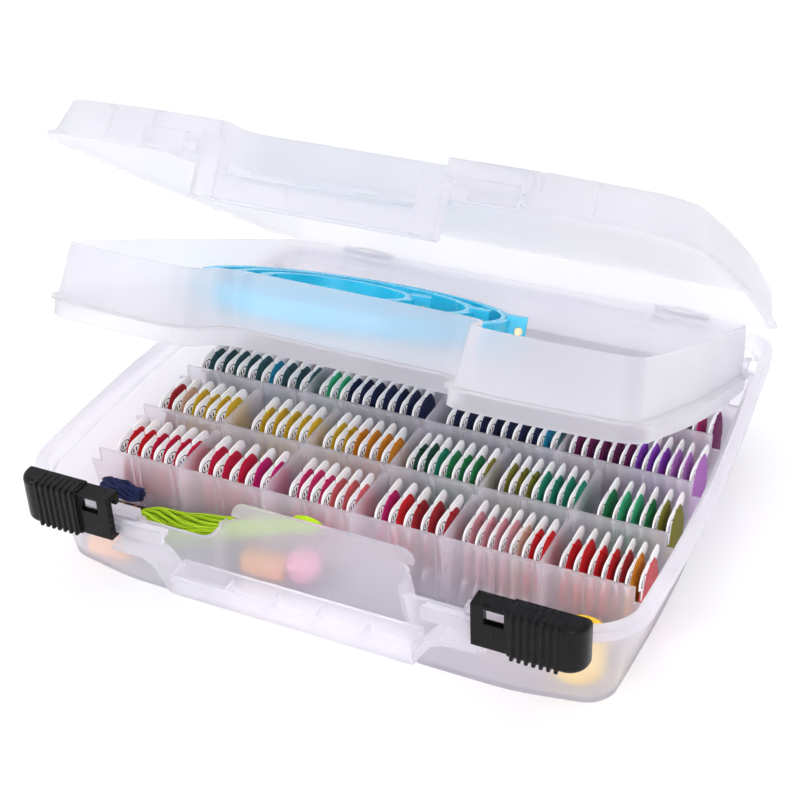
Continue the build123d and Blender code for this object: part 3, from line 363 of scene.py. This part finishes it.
class Materials:
    """Makes each finish once and hands it out."""

    def __init__(self) -> None:
        """Builds the shared shader node groups."""
        self.cloud = cloud_group()
        self.moulded = moulded_normal_group()
        self.strands = strand_group()
        self.oval = oval_print_group()
        self.stripes = stripe_group()
        self.made: dict[str, bpy.types.Material] = {}

    def _start(self, name: str) -> tuple[bpy.types.Material, Nodes, bpy.types.Node, bpy.types.Node]:
        """Starts a material with its Principled shader.

        Args:
            name: the material's name.

        Returns:
            The material, the helper on its tree, the shader and the output node.
        """
        material = bpy.data.materials.new(name)
        material.use_nodes = True
        material.node_tree.nodes.clear()
        nodes = Nodes(material.node_tree)
        shader = nodes.add("ShaderNodeBsdfPrincipled")
        output = nodes.add("ShaderNodeOutputMaterial")
        nodes.join(shader.outputs[0], output.inputs["Surface"])
        self.made[name] = material
        return material, nodes, shader, output

    def _group(self, nodes: Nodes, tree: bpy.types.NodeTree, **values: float) -> bpy.types.Node:
        """Adds a group node.

        Args:
            nodes: helper on the material's tree.
            tree: the group.
            **values: inputs to set, with underscores for spaces.

        Returns:
            The group node.
        """
        node = nodes.add("ShaderNodeGroup", node_tree=tree)
        for name, value in values.items():
            node.inputs[name.replace("_", " ")].default_value = value
        return node

    def _blend(self, nodes: Nodes, factor: bpy.types.NodeSocket, low: object,
               high: object) -> bpy.types.NodeSocket:
        """Mixes two colours by a value.

        Args:
            nodes: helper on the material's tree.
            factor: the mask.
            low: colour or socket where the mask is 0.
            high: colour or socket where it is 1.

        Returns:
            The colour's socket.
        """
        mix = nodes.add("ShaderNodeMix", data_type="RGBA")
        nodes.join(factor, mix.inputs[0])
        for index, colour in ((6, low), (7, high)):
            if isinstance(colour, bpy.types.NodeSocket):
                nodes.join(colour, mix.inputs[index])
            else:
                mix.inputs[index].default_value = colour
        return mix.outputs[2]

    def _spread(self, nodes: Nodes, factor: bpy.types.NodeSocket,
                span: tuple[float, float]) -> bpy.types.NodeSocket:
        """Maps a 0 to 1 value onto a span.

        Args:
            nodes: helper on the material's tree.
            factor: the value.
            span: result at 0 and at 1.

        Returns:
            The result's socket.
        """
        return nodes.math("ADD", nodes.math("MULTIPLY", factor, span[1] - span[0]), span[0])

    def frosted(self, name: str, finish: FrostedFinish) -> bpy.types.Material:
        """Frosted, light-passing plastic.

        Args:
            name: the material's name.
            finish: its finish.

        Returns:
            The material.
        """
        if name in self.made:
            return self.made[name]
        material, nodes, shader, output = self._start(name)
        cloud = self._group(nodes, self.cloud, Scale=22.0, Detail=4.0)
        colour = self._blend(nodes, cloud.outputs["Value"], finish.shade, finish.tint)
        nodes.join(colour, shader.inputs["Base Color"])
        nodes.join(self._spread(nodes, cloud.outputs["Value"], finish.roughness), shader.inputs["Roughness"])
        normal = self._group(nodes, self.moulded, Edge=finish.edge_radius, Grain_scale=1400.0,
                             Grain_height=finish.grain_height)
        nodes.join(normal.outputs["Normal"], shader.inputs["Normal"])
        shader.inputs["Transmission Weight"].default_value = finish.clarity
        shader.inputs["IOR"].default_value = finish.ior
        shader.inputs["Specular IOR Level"].default_value = 0.6
        shader.inputs["Coat Weight"].default_value = 0.12
        shader.inputs["Coat Roughness"].default_value = 0.2
        glow = nodes.add("ShaderNodeBsdfTranslucent")
        nodes.join(colour, glow.inputs["Color"])
        nodes.join(normal.outputs["Normal"], glow.inputs["Normal"])
        mix = nodes.add("ShaderNodeMixShader")
        mix.inputs[0].default_value = finish.glow
        nodes.join(shader.outputs[0], mix.inputs[1])
        nodes.join(glow.outputs[0], mix.inputs[2])
        # Sheet plastic lets most of the light on to what lies behind it, so its shadows stay pale
        path = nodes.add("ShaderNodeLightPath")
        passed = nodes.add("ShaderNodeBsdfTransparent")
        nodes.join(colour, passed.inputs["Color"])
        lit = nodes.add("ShaderNodeMixShader")
        nodes.join(nodes.math("MULTIPLY", path.outputs["Is Shadow Ray"], finish.light_passed), lit.inputs[0])
        nodes.join(mix.outputs[0], lit.inputs[1])
        nodes.join(passed.outputs[0], lit.inputs[2])
        nodes.join(lit.outputs[0], output.inputs["Surface"])
        return material

    def solid(self, name: str, finish: SolidFinish) -> bpy.types.Material:
        """Opaque finish.

        Args:
            name: the material's name.
            finish: its finish.

        Returns:
            The material.
        """
        if name in self.made:
            return self.made[name]
        material, nodes, shader, _ = self._start(name)
        cloud = self._group(nodes, self.cloud, Scale=finish.cloud_scale, Detail=4.0)
        nodes.join(self._blend(nodes, cloud.outputs["Value"], finish.low, finish.high),
                   shader.inputs["Base Color"])
        nodes.join(self._spread(nodes, cloud.outputs["Value"], finish.roughness), shader.inputs["Roughness"])
        normal = self._group(nodes, self.moulded, Edge=finish.edge_radius, Grain_scale=finish.grain_scale,
                             Grain_height=finish.grain_height)
        nodes.join(normal.outputs["Normal"], shader.inputs["Normal"])
        shader.inputs["Metallic"].default_value = finish.metallic
        shader.inputs["Coat Weight"].default_value = finish.coat
        shader.inputs["Specular IOR Level"].default_value = finish.specular
        shader.inputs["Sheen Weight"].default_value = finish.sheen
        shader.inputs["Subsurface Weight"].default_value = finish.subsurface
        shader.inputs["Subsurface Scale"].default_value = 0.004
        return material

    def yarn(self, name: str, finish: YarnFinish) -> bpy.types.Material:
        """Stranded cotton.

        Args:
            name: the material's name.
            finish: its finish.

        Returns:
            The material.
        """
        if name in self.made:
            return self.made[name]
        material, nodes, shader, _ = self._start(name)
        strands = self._group(nodes, self.strands, Pitch=finish.strand_pitch, Depth=finish.strand_depth)
        cloud = self._group(nodes, self.cloud, Scale=260.0, Detail=2.0)
        # Colour from low to high by strand height: painted shade in the creases and painted highlight on the
        # crowns, dimmed at random by the cloud
        painted_shade_and_tone = nodes.math("MULTIPLY", self._spread(nodes, cloud.outputs["Value"], (0.75, 1.0)),
                          strands.outputs["Value"])
        nodes.join(self._blend(nodes, painted_shade_and_tone, finish.low, finish.high), shader.inputs["Base Color"])
        nodes.join(strands.outputs["Normal"], shader.inputs["Normal"])
        shader.inputs["Roughness"].default_value = finish.roughness
        shader.inputs["Specular IOR Level"].default_value = 0.2
        shader.inputs["Sheen Weight"].default_value = finish.sheen
        shader.inputs["Sheen Roughness"].default_value = 0.4
        return material

    def cotton(self, colour: str) -> bpy.types.Material:
        """Cotton of a named colour.

        Args:
            colour: a key of THREAD_COLOURS.

        Returns:
            The material.
        """
        base = np.array(THREAD_COLOURS[colour])
        # low is the painted shade in the creases between strands, high the painted highlight on their crowns
        low = tuple(float(c) for c in base * CREASE_PAINTED_SHADE) + (1.0,)
        high = tuple(float(c) for c in np.clip(base * CROWN_PAINTED_HIGHLIGHT + 0.004, 0, 1)) + (1.0,)
        return self.yarn("thread_" + colour, YarnFinish(low, high))

    def card(self, name: str, finish: CardFinish) -> bpy.types.Material:
        """White card with its printed oval.

        Args:
            name: the material's name.
            finish: its finish.

        Returns:
            The material.
        """
        if name in self.made:
            return self.made[name]
        material, nodes, shader, _ = self._start(name)
        cloud = self._group(nodes, self.cloud, Scale=180.0, Detail=3.0)
        paper = self._blend(nodes, cloud.outputs["Value"], finish.low, finish.high)
        oval = self._group(nodes, self.oval)
        nodes.join(self._blend(nodes, oval.outputs["Mask"], paper, finish.ink), shader.inputs["Base Color"])
        nodes.join(self._spread(nodes, cloud.outputs["Value"], finish.roughness), shader.inputs["Roughness"])
        normal = self._group(nodes, self.moulded, Edge=0.0002, Grain_scale=2500.0, Grain_height=0.00001)
        nodes.join(normal.outputs["Normal"], shader.inputs["Normal"])
        shader.inputs["Subsurface Weight"].default_value = 0.2
        shader.inputs["Subsurface Scale"].default_value = 0.002
        return material

    def band(self, name: str) -> bpy.types.Material:
        """Paper band with plain gold stripes on black.

        Args:
            name: the material's name.

        Returns:
            The material.
        """
        if name in self.made:
            return self.made[name]
        material, nodes, shader, _ = self._start(name)
        stripes = self._group(nodes, self.stripes)
        nodes.join(self._blend(nodes, stripes.outputs["Mask"], BAND_BLACK, BAND_GOLD),
                   shader.inputs["Base Color"])
        nodes.join(self._spread(nodes, stripes.outputs["Mask"], (0.25, 0.4)), shader.inputs["Roughness"])
        nodes.join(nodes.math("MULTIPLY", stripes.outputs["Mask"], 0.7), shader.inputs["Metallic"])
        return material


# ------------------------------------------------------------------ mesh building
@dataclass
class Surface:
    """Vertices, faces and UVs of a mesh being built; sheets of quads are added in one go."""

    points: list[np.ndarray] = field(default_factory=list)
    uvs: list[np.ndarray] = field(default_factory=list)
    faces: list[list[int]] = field(default_factory=list)
    count: int = 0

    def sheet(self, grid: np.ndarray, uv: np.ndarray, close_columns: bool = False) -> int:
        """Adds a grid of points joined by quads.

        Args:
            grid: points by row and column, shape (rows, columns, 3).
            uv: coordinates of the same shape with 2 values.
            close_columns: joins the last column to the first.

        Returns:
            Index of the sheet's first vertex.
        """
        rows, columns = grid.shape[:2]
        index = np.arange(rows * columns).reshape(rows, columns)
        above, below = index[:-1], index[1:]
        if close_columns:
            quads = np.stack([above, np.roll(above, -1, axis=1), np.roll(below, -1, axis=1), below], axis=-1)
        else:
            quads = np.stack([above[:, :-1], above[:, 1:], below[:, 1:], below[:, :-1]], axis=-1)
        start = self.count
        self.faces += (quads.reshape(-1, 4) + start).tolist()
        self.points.append(grid.reshape(-1, 3))
        self.uvs.append(uv.reshape(-1, 2))
        self.count += rows * columns
        return start

    def cap(self, start: int, size: int, backwards: bool) -> None:
        """Closes a ring of vertices with one face.

        Args:
            start: the ring's first vertex.
            size: number of vertices in the ring.
            backwards: turns the face round.
        """
        ring = list(range(start, start + size))
        self.faces.append(ring[::-1] if backwards else ring)

    def tube(self, path: np.ndarray, radius: np.ndarray, sides: int = 8) -> None:
        """Adds a round strand along a path.

        Each ring stands square to the path; its two directions come from the cross product of the
        path's tangent with a fixed slanting direction.

        Args:
            path: points of the centre line, shape (n, 3).
            radius: radius at each point.
            sides: number of sides.
        """
        tangent = np.gradient(path, axis=0)
        tangent /= np.linalg.norm(tangent, axis=1, keepdims=True) + 1e-12
        across = np.cross(tangent, np.array([0.31, 0.22, 0.92]))
        across /= np.linalg.norm(across, axis=1, keepdims=True) + 1e-12
        upward = np.cross(tangent, across)
        angle = np.linspace(0, 2 * math.pi, sides, endpoint=False)
        ring = across[:, None] * np.cos(angle)[None, :, None] + upward[:, None] * np.sin(angle)[None, :, None]
        grid = path[:, None] + ring * np.broadcast_to(radius, len(path))[:, None, None]
        run = np.concatenate([[0], np.cumsum(np.linalg.norm(np.diff(path, axis=0), axis=1))])
        uv = np.stack(np.broadcast_arrays(run[:, None] * 12, angle[None] * 0.0002), axis=-1)
        start = self.sheet(grid, uv, close_columns=True)
        self.cap(start, sides, False)
        self.cap(start + (len(path) - 1) * sides, sides, True)

    def build(self, name: str, material: bpy.types.Material, smooth: bool = True) -> bpy.types.Object:
        """Makes the object at the origin.

        Args:
            name: the object's name.
            material: its material.
            smooth: shades it smooth.

        Returns:
            The object.
        """
        mesh = bpy.data.meshes.new(name)
        mesh.from_pydata(np.concatenate(self.points), [], self.faces)
        mesh.update()
        corner = np.empty(len(mesh.loops), dtype=np.int32)
        mesh.loops.foreach_get("vertex_index", corner)
        layer = mesh.uv_layers.new(name="UVMap")
        layer.data.foreach_set("uv", np.concatenate(self.uvs)[corner].astype(np.float32).ravel())
        if smooth:
            mesh.shade_smooth()
        mesh.materials.append(material)
        made = bpy.data.objects.new(name, mesh)
        bpy.context.scene.collection.objects.link(made)
        LOG.info("%s: %d faces", name, len(mesh.polygons))
        return made


def node_points(name: str) -> np.ndarray:
    """Vertices of a CAD node.

    Args:
        name: the node.

    Returns:
        Array of shape (n, 3), in metres.
    """
    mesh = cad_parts[name].data
    points = np.empty(len(mesh.vertices) * 3)
    mesh.vertices.foreach_get("co", points)
    return points.reshape(-1, 3)


# ------------------------------------------------------------------ moulded pieces
@dataclass
class MouldedParts:
    """CAD pieces shown in their own shape."""

    materials: Materials
    lids: tuple[str, ...] = ("lid_shell", "lid_handle", "flip_tray")
    shells: tuple[str, ...] = ("base_tub", "handle_lower", "latch_rails")
    walls: tuple[str, ...] = ("row_wall_1", "row_wall_2", "row_wall_3", "row_wall_4", "row_wall_5")
    dividers: tuple[str, ...] = ("dividers_row_1", "dividers_row_2", "dividers_row_3", "dividers_row_4")
    hoops: tuple[str, ...] = ("hoop_large_inner", "hoop_large_outer", "hoop_medium_inner",
                              "hoop_medium_outer", "hoop_small_inner", "hoop_small_outer")

    def finish(self, node: str, material: bpy.types.Material, slot: str) -> None:
        """Gives a CAD node its material.

        Args:
            node: the node.
            material: its material.
            slot: not used.
        """
        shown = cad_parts[node]
        shown.data.materials.clear()
        shown.data.materials.append(material)
        LOG.info("%s takes %s", node, material.name)

    def build(self) -> None:
        """Finishes every moulded piece."""
        for kind, nodes, slot in ((PlasticKind.LID, self.lids, "frosted_plastic"),
                                  (PlasticKind.SHELL, self.shells, "frosted_plastic"),
                                  (PlasticKind.WALL, self.walls, "frosted_plastic"),
                                  (PlasticKind.WALL, self.dividers, "frosted_divider")):
            for node in nodes:
                self.finish(node, self.materials.frosted(kind.value, FROSTED[kind]), slot)
        for node in ("latch_left", "latch_right"):
            self.finish(node, self.materials.solid("black_plastic", BLACK_PLASTIC), "black_plastic")
        for node in self.hoops:
            self.finish(node, self.materials.solid("hoop_blue", HOOP_BLUE), "hoop_blue")
        for node, finish, slot in (("hoop_screws", BRASS, "brass"),
                                   ("tray_pivot_pins", PIN_PLASTIC, "pin_plastic"),
                                   ("hinge_pins", PIN_STEEL, "pin_steel"),
                                   ("packets", PACKET_ORANGE, "packet_orange"),
                                   ("tape_roll", TAPE_YELLOW, "tape_yellow")):
            self.finish(node, self.materials.solid(slot, finish), slot)


# ------------------------------------------------------------------ thread cards
WINDING_SIDES = 36      # points round one loop of cotton on a card
WINDING_ROWS = 46       # loops from the bottom of the cotton to its top


@dataclass
class ThreadCards:
    """Card bobbins with cotton wound round their waists."""

    materials: Materials
    half_width: float = 18.5 * MM
    waist: float = 13.5 * MM
    lobe: float = 9.0 * MM
    corner: float = 7.0 * MM
    half_thickness: float = 0.4 * MM
    edge_round: float = 0.2 * MM
    slot_half: float = 0.5 * MM
    slot_depth: float = 11.0 * MM
    slot_flare: float = 0.8 * MM
    top_gap: float = 0.2 * MM
    winding_half_thickness: float = 3.25 * MM
    winding_half_width: float = 15.2 * MM
    winding_low: float = 8.5 * MM
    winding_high: float = 44.6 * MM
    leaf_start: float = 0.35
    leaf_shift: float = 2.0 * MM
    tail_radius: float = 0.42 * MM
    winding_offset: float = 2.8 * MM
    offset_tolerance: float = 0.1 * MM
    row_reach: float = 20.0 * MM
    lean: float = math.radians(1.1)
    yaw: float = math.radians(1.6)

    def outline(self, low: float, high: float) -> np.ndarray:
        """Outline of a card in the YZ plane.

        Round-cornered lobes above and below a narrow waist, a narrow slot in the middle of the top.

        Args:
            low: height of the card's foot.
            high: height of its top.

        Returns:
            Points of shape (n, 2), running round once.
        """
        quarter = np.linspace(0, math.pi / 2, 9)
        far = self.half_width - self.corner
        foot = np.stack([far + self.corner * np.sin(quarter),
                         low + self.corner * (1 - np.cos(quarter))], axis=1)
        crown = np.stack([far + self.corner * np.cos(quarter),
                          high - self.corner * (1 - np.sin(quarter))], axis=1)
        under, over = low + self.lobe, high - self.lobe
        waist = np.array([[self.half_width, under - 0.6 * MM],
                          [self.half_width - 1.2 * MM, under],
                          [self.waist + 1.0 * MM, under + 1.0 * MM],
                          [self.waist, under + 2.4 * MM],
                          [self.waist, over - 2.4 * MM],
                          [self.waist + 1.0 * MM, over - 1.0 * MM],
                          [self.half_width - 1.2 * MM, over],
                          [self.half_width, over + 0.6 * MM]])
        slot = np.array([[self.slot_half + self.slot_flare, high],
                         [self.slot_half + 0.1 * MM, high - 1.0 * MM],
                         [self.slot_half * 0.8, high - self.slot_depth * 0.6],
                         [self.slot_half * 0.5, high - self.slot_depth]])
        right = np.concatenate([foot, waist, crown, slot])
        left = right[::-1] * np.array([-1.0, 1.0])
        return np.concatenate([right, left])

    def card_surface(self, surface: Surface, low: float, high: float, place: np.ndarray,
                     turn: np.ndarray) -> None:
        """Adds one card.

        Four copies of the outline across the thickness, the outer two drawn in to round the edge.

        Args:
            surface: surface to add to.
            low: height of the foot.
            high: height of the top.
            place: the card's foot centre.
            turn: rotation matrix about the foot.
        """
        outline = self.outline(low, high)
        ahead = np.roll(outline, -1, axis=0) - np.roll(outline, 1, axis=0)
        outward = np.stack([ahead[:, 1], -ahead[:, 0]], axis=1)
        outward /= np.linalg.norm(outward, axis=1, keepdims=True)
        offsets = np.array([-1.0, -0.65, 0.65, 1.0]) * self.half_thickness
        insets = np.array([self.edge_round, 0.0, 0.0, self.edge_round])
        flat = outline[None] - outward[None] * insets[:, None, None]
        grid = np.concatenate([np.broadcast_to(offsets[:, None, None], flat.shape[:2] + (1,)), flat], axis=-1)
        uv = np.stack([(grid[..., 1] + self.half_width) / MM, (grid[..., 2] - low) / MM], axis=-1)
        grid = (grid - np.array([0, 0, low])) @ turn.T + place
        start = surface.sheet(grid, uv, close_columns=True)
        size = len(outline)
        surface.cap(start, size, True)
        surface.cap(start + 3 * size, size, False)

    def winding_surface(self, surface: Surface, low: float, place: np.ndarray, turn: np.ndarray,
                        seed: np.random.Generator) -> None:
        """Adds the cotton wound round one card.

        A flattened loop round the waist at each height: thick in the middle and thin at the card's
        edges. Its thickness follows the root of 1 - |2s - 1|^3 with the share s of the height, so that
        it closes at the top and bottom. Above about a third of the height the loop also narrows like
        a leaf, by the root of 1 - 0.82 u^2 with the share u of the way from there up, and shifts
        back. Ripples stand for the lays of strands.

        Args:
            surface: surface to add to.
            low: height of the card's foot.
            place: the card's foot centre.
            turn: rotation matrix about the foot.
            seed: random generator.
        """
        around = np.linspace(0, 2 * math.pi, WINDING_SIDES, endpoint=False)
        share = np.linspace(0, 1, WINDING_ROWS)
        top = self.winding_high + seed.uniform(-1.5, 1.0) * MM
        height = self.winding_low + (top - self.winding_low) * share
        envelope = np.sqrt(np.clip(1 - np.abs(2 * share - 1) ** 3, 0.02, 1))
        upper = np.clip((share - self.leaf_start) / (1 - self.leaf_start), 0, 1)
        leaf = np.sqrt(1 - 0.82 * upper ** 2)
        phase = seed.uniform(0, 6.28, 3)
        uneven = 1 + 0.06 * np.sin(share * 17 + phase[0]) + 0.04 * np.sin(share * 41 + phase[1])
        thickness = self.winding_half_thickness * seed.uniform(0.86, 1.0) * envelope * uneven / 1.1
        width = (self.waist + (self.winding_half_width - self.waist) * envelope) * leaf
        bulge = np.sign(np.sin(around)) * np.abs(np.sin(around)) ** 0.8
        ripple = 1 + 0.03 * np.sin(share[:, None] * 150 + 2.5 * np.cos(around)[None] + phase[2])
        x = thickness[:, None] * bulge[None] * ripple
        y = width[:, None] * np.cos(around)[None] + self.leaf_shift * upper[:, None]
        z = np.broadcast_to(height[:, None], x.shape) + 0.6 * MM * np.sin(around)[None] * envelope[:, None]
        grid = (np.stack([x, y, z], axis=-1) - np.array([0, 0, low])) @ turn.T + place
        slant = seed.uniform(-0.14, 0.14)
        uv = np.stack(np.broadcast_arrays(around[None] / 6.2832, height[:, None] + slant * y), axis=-1)
        start = surface.sheet(grid, uv, close_columns=True)
        surface.cap(start, WINDING_SIDES, True)
        surface.cap(start + (WINDING_ROWS - 1) * WINDING_SIDES, WINDING_SIDES, False)
        # Loose end brought up through the card's slot
        for lift in (0.0, 0.8 * MM):
            knots = np.array([[2.0 * MM, 4.5 * MM, 38.5 * MM], [1.4 * MM, 2.4 * MM, 42.0 * MM],
                              [0.9 * MM, 0.9 * MM, 43.6 * MM + lift], [0.0, 0.0, 43.0 * MM + lift],
                              [-0.9 * MM, -0.8 * MM, 42.0 * MM], [-1.6 * MM, -2.5 * MM, 38.5 * MM]])
            run = np.linspace(0, 5, 16)
            path = np.stack([np.interp(run, np.arange(6), knots[:, axis]) for axis in range(3)], axis=-1)
            surface.tube((path - np.array([0, 0, low])) @ turn.T + place, self.tail_radius, 6)

    def build(self) -> None:
        """Builds the cards of each row and the cotton of each colour."""
        threads = sorted(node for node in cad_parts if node.startswith("threads_"))
        windings = {node: Surface() for node in threads}
        clouds = {node: node_points(node) for node in threads}
        seed = np.random.default_rng(7)
        white = self.materials.card("card_white", CardFinish())
        for row in range(1, 5):
            node = "cards_row_" + str(row)
            points = node_points(node)
            edges = np.unique(np.round(points[:, 0], 5))
            low, high = points[:, 2].min(), points[:, 2].max()
            middle = (points[:, 1].min() + points[:, 1].max()) / 2
            surface = Surface()
            for centre in (edges[0::2] + edges[1::2]) / 2:
                lean = self.lean * math.sin(centre * 90 + row) + seed.uniform(-0.4, 0.4) * self.lean
                yaw = seed.uniform(-1, 1) * self.yaw
                turn = np.array(Matrix.Rotation(yaw, 3, "Z") @ Matrix.Rotation(lean, 3, "Y"))
                place = np.array([centre, middle + seed.uniform(-0.8, 0.8) * MM, low])
                self.card_surface(surface, low, high - self.top_gap, place, turn)
                for thread, cloud in clouds.items():
                    near = np.abs(cloud[:, 0] - centre - self.winding_offset) < self.offset_tolerance
                    if np.any(near & (np.abs(cloud[:, 1] - middle) < self.row_reach)):
                        self.winding_surface(windings[thread], low, place, turn, seed)
            made = surface.build("cards_detail_" + str(row), white)
            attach(made, "tub")
            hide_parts(node)
        for thread, surface in windings.items():
            colour = thread.removeprefix("threads_")
            made = surface.build("cotton_" + colour, self.materials.cotton(colour))
            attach(made, "tub")
            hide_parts(thread)


# ------------------------------------------------------------------ goods in the front channel
SKEIN_STATIONS = 60     # rings along each strand
GOLDEN_ANGLE = 2.39996  # turn from one strand's place to the next, in radians


@dataclass
class Skein:
    """Bundle of strands along a centre line, with twist and a swelling."""

    node: str
    slot: str
    knots: tuple[tuple[float, float, float], ...]
    radii: tuple[float, ...]
    strands: int
    strand_radius: float
    twist: float

    def build(self, material: bpy.types.Material, loops: int = 0) -> bpy.types.Object:
        """Builds the bundle.

        Every strand keeps its own place in the bundle's round section and turns slowly about the
        centre line; the section swells and narrows with the given radii.

        Args:
            material: material of the strands.
            loops: number of strands that end in a standing loop.

        Returns:
            The object, riding on the tub.
        """
        surface = Surface()
        stations = np.linspace(0, len(self.knots) - 1, SKEIN_STATIONS)
        knots = np.array(self.knots) * MM
        base = np.arange(len(knots))
        centre = np.stack([np.interp(stations, base, knots[:, axis]) for axis in range(3)], axis=-1)
        smooth = np.array([0.1, 0.2, 0.4, 0.2, 0.1])
        padded = np.pad(centre, ((2, 2), (0, 0)), mode="edge")
        centre = sum(weight * padded[shift:shift + SKEIN_STATIONS] for shift, weight in enumerate(smooth))
        reach = np.interp(stations, base, np.array(self.radii)) * MM
        run = np.linspace(0, 1, SKEIN_STATIONS)
        places = np.sqrt((np.arange(self.strands) + 0.5) / self.strands)
        angles = np.arange(self.strands) * GOLDEN_ANGLE
        for share, angle in zip(places, angles):
            turn = angle + self.twist * run + 0.25 * np.sin(run * 9 + angle * 3)
            swell = share * (reach - self.strand_radius * MM) * (1 + 0.05 * np.sin(run * 12 + angle * 5))
            offset = np.stack([np.zeros(SKEIN_STATIONS), swell * np.cos(turn), swell * np.sin(turn)], axis=-1)
            surface.tube(centre + offset, self.strand_radius * MM, 7)
        tip = centre[-1]
        for index in range(loops):
            sweep = np.linspace(-0.3, 2 * math.pi - 0.9, 40)
            wide, tall = (7.5 + 0.5 * index) * MM, (3.4 + 0.3 * index) * MM
            aside = np.full(40, (index - loops / 2) * 0.5 * MM)
            path = tip + np.stack([-7 * MM + wide * np.cos(sweep), aside, tall * np.sin(sweep)], axis=-1)
            surface.tube(path, 0.5 * MM, 7)
        made = surface.build(self.node + "_strands", material)
        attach(made, "tub")
        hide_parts(self.node)
        return made


@dataclass
class FrontGoods:
    """Skeins, their band and the wool ball."""

    materials: Materials
    ball_radius: float = 11.0 * MM
    ball_strands: int = 34

    def build(self) -> None:
        """Builds the goods that lie in the front channel."""
        seed = np.random.default_rng(3)
        # Lime cotton: the first colour is painted shade in the creases between strands, the second painted
        # highlight on their crowns
        lime = self.materials.yarn("skein_lime", YarnFinish((0.26, 0.5, 0.0, 1.0), (0.58, 0.86, 0.02, 1.0)))
        low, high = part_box("skein_green")
        skein_z = 13.3
        Skein("skein_green", "skein_lime",
              ((-134, -112, skein_z), (-120, -112, skein_z + 1), (-104, -111.5, skein_z + 2), (-88, -110, 19),
               (-64, -108, 25.5), (-38, -106.6, 33), (-14, -105.8, 38.5)),
              (6.5, 10.2, 10.0, 8.4, 6.4, 4.6, 3.0), 46, 0.95, 2.2).build(lime, loops=5)
        LOG.info("lime skein spans %.3f to %.3f m", low[0], high[0])
        Skein("skein_navy", "thread_navy",
              ((-163, -106.3, 26.8), (-155, -106.3, 27.4), (-145, -106.3, 27.2), (-135, -106.3, 26.8)),
              (5.2, 6.6, 6.4, 4.6), 26, 0.95, 1.4).build(self.materials.cotton("navy"))
        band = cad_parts["skein_band"]
        band.data.materials.clear()
        band.data.materials.append(self.materials.band("band_paper"))
        self.ball(seed)

    def ball(self, seed: np.random.Generator) -> None:
        """Wool ball: great circles of yarn laid over one another in all directions.

        Args:
            seed: random generator.
        """
        low, high = (np.array(corner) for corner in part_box("wool_ball"))
        centre = (low + high) / 2
        surface = Surface()
        sweep = np.linspace(0, 2 * math.pi, 49)
        for index in range(self.ball_strands):
            tilt = Matrix.Rotation(seed.uniform(0, math.pi), 3, "X")
            tilt = tilt @ Matrix.Rotation(seed.uniform(0, math.pi), 3, "Z")
            reach = self.ball_radius - (1.2 + 0.5 * (index % 3)) * MM
            flat = np.stack([np.cos(sweep), np.sin(sweep), 0.15 * np.sin(3 * sweep)], axis=-1)
            flat /= np.linalg.norm(flat, axis=1, keepdims=True)
            surface.tube(centre + reach * flat @ np.array(tilt).T, 1.1 * MM, 8)
        # Pink wool: the first colour is painted shade in the creases between strands, the second painted
        # highlight on their crowns
        wool = self.materials.yarn("wool_pink", YarnFinish((0.6, 0.12, 0.24, 1.0), (0.93, 0.4, 0.55, 1.0)))
        made = surface.build("wool_ball_strands", wool)
        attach(made, "tub")
        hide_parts("wool_ball")


# ------------------------------------------------------------------ studio
@dataclass
class Studio:
    """Pale floor, soft lights and the camera."""

    materials: Materials
    floor_half: float = 4.0
    camera_place: tuple[float, float, float] = (0.3440, -0.7104, 0.5765)
    camera_right: tuple[float, float, float] = (0.90298, 0.42829, -0.03499)
    camera_up: tuple[float, float, float] = (-0.20678, 0.50445, 0.83837)
    camera_back: tuple[float, float, float] = (0.37671, -0.74977, 0.54405)
    lens: float = 70.04

    def light(self, name: str, place: tuple[float, float, float], aim: tuple[float, float, float],
              size: float, power: float) -> None:
        """Adds a soft square light.

        Args:
            name: the light's name.
            place: where it stands.
            aim: point it faces.
            size: its side.
            power: its power in watts.
        """
        data = bpy.data.lights.new(name, "AREA")
        data.shape = "SQUARE"
        data.size = size
        data.energy = power
        lamp = bpy.data.objects.new(name, data)
        lamp.matrix_world = Matrix.Translation(place) @ (Vector(place) - Vector(aim)).to_track_quat(
            "Z", "Y").to_matrix().to_4x4()
        bpy.context.scene.collection.objects.link(lamp)

    def build(self) -> None:
        """Builds the floor, the lights, the world and the camera."""
        reach = self.floor_half
        grid = np.array([[[-reach, -reach, 0.0], [reach, -reach, 0.0]],
                         [[-reach, reach, 0.0], [reach, reach, 0.0]]])
        surface = Surface()
        surface.sheet(grid, grid[..., :2])
        floor = surface.build("floor", self.materials.solid("floor_paper", FLOOR_FINISH), smooth=False)
        world = bpy.data.worlds.new("studio")
        world.use_nodes = True
        backdrop = world.node_tree.nodes["Background"]
        backdrop.inputs["Color"].default_value = WORLD_COLOUR
        backdrop.inputs["Strength"].default_value = WORLD_STRENGTH
        bpy.context.scene.world = world
        self.light("overhead", (0.1, 0.1, 1.6), (0.0, 0.0, 0.1), 1.6, 5.0)
        self.light("front_left", (-1.2, -1.3, 1.1), (0.0, 0.0, 0.1), 0.9, 11.0)
        self.light("front_right", (0.9, -1.6, 0.8), (0.0, 0.0, 0.05), 0.9, 10.0)
        self.light("behind", (0.5, 1.5, 1.2), (0.0, 0.1, 0.15), 1.2, 5.0)
        bpy.context.scene.view_settings.view_transform = "Standard"
        data = bpy.data.cameras.new("camera")
        data.lens = self.lens
        data.sensor_width = 36.0
        camera = bpy.data.objects.new("camera", data)
        columns = zip(self.camera_right, self.camera_up, self.camera_back)
        turn = Matrix([list(column) for column in columns]).to_4x4()
        camera.matrix_world = Matrix.Translation(self.camera_place) @ turn
        bpy.context.scene.collection.objects.link(camera)
        bpy.context.scene.camera = camera
        LOG.info("studio ready")


def main() -> None:
    """Builds the visual model."""
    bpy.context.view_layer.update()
    materials = Materials()
    MouldedParts(materials).build()
    ThreadCards(materials).build()
    FrontGoods(materials).build()
    Studio(materials).build()


if __name__ == "__main__":
    logging.basicConfig(level=logging.INFO, format="%(message)s")
    main()
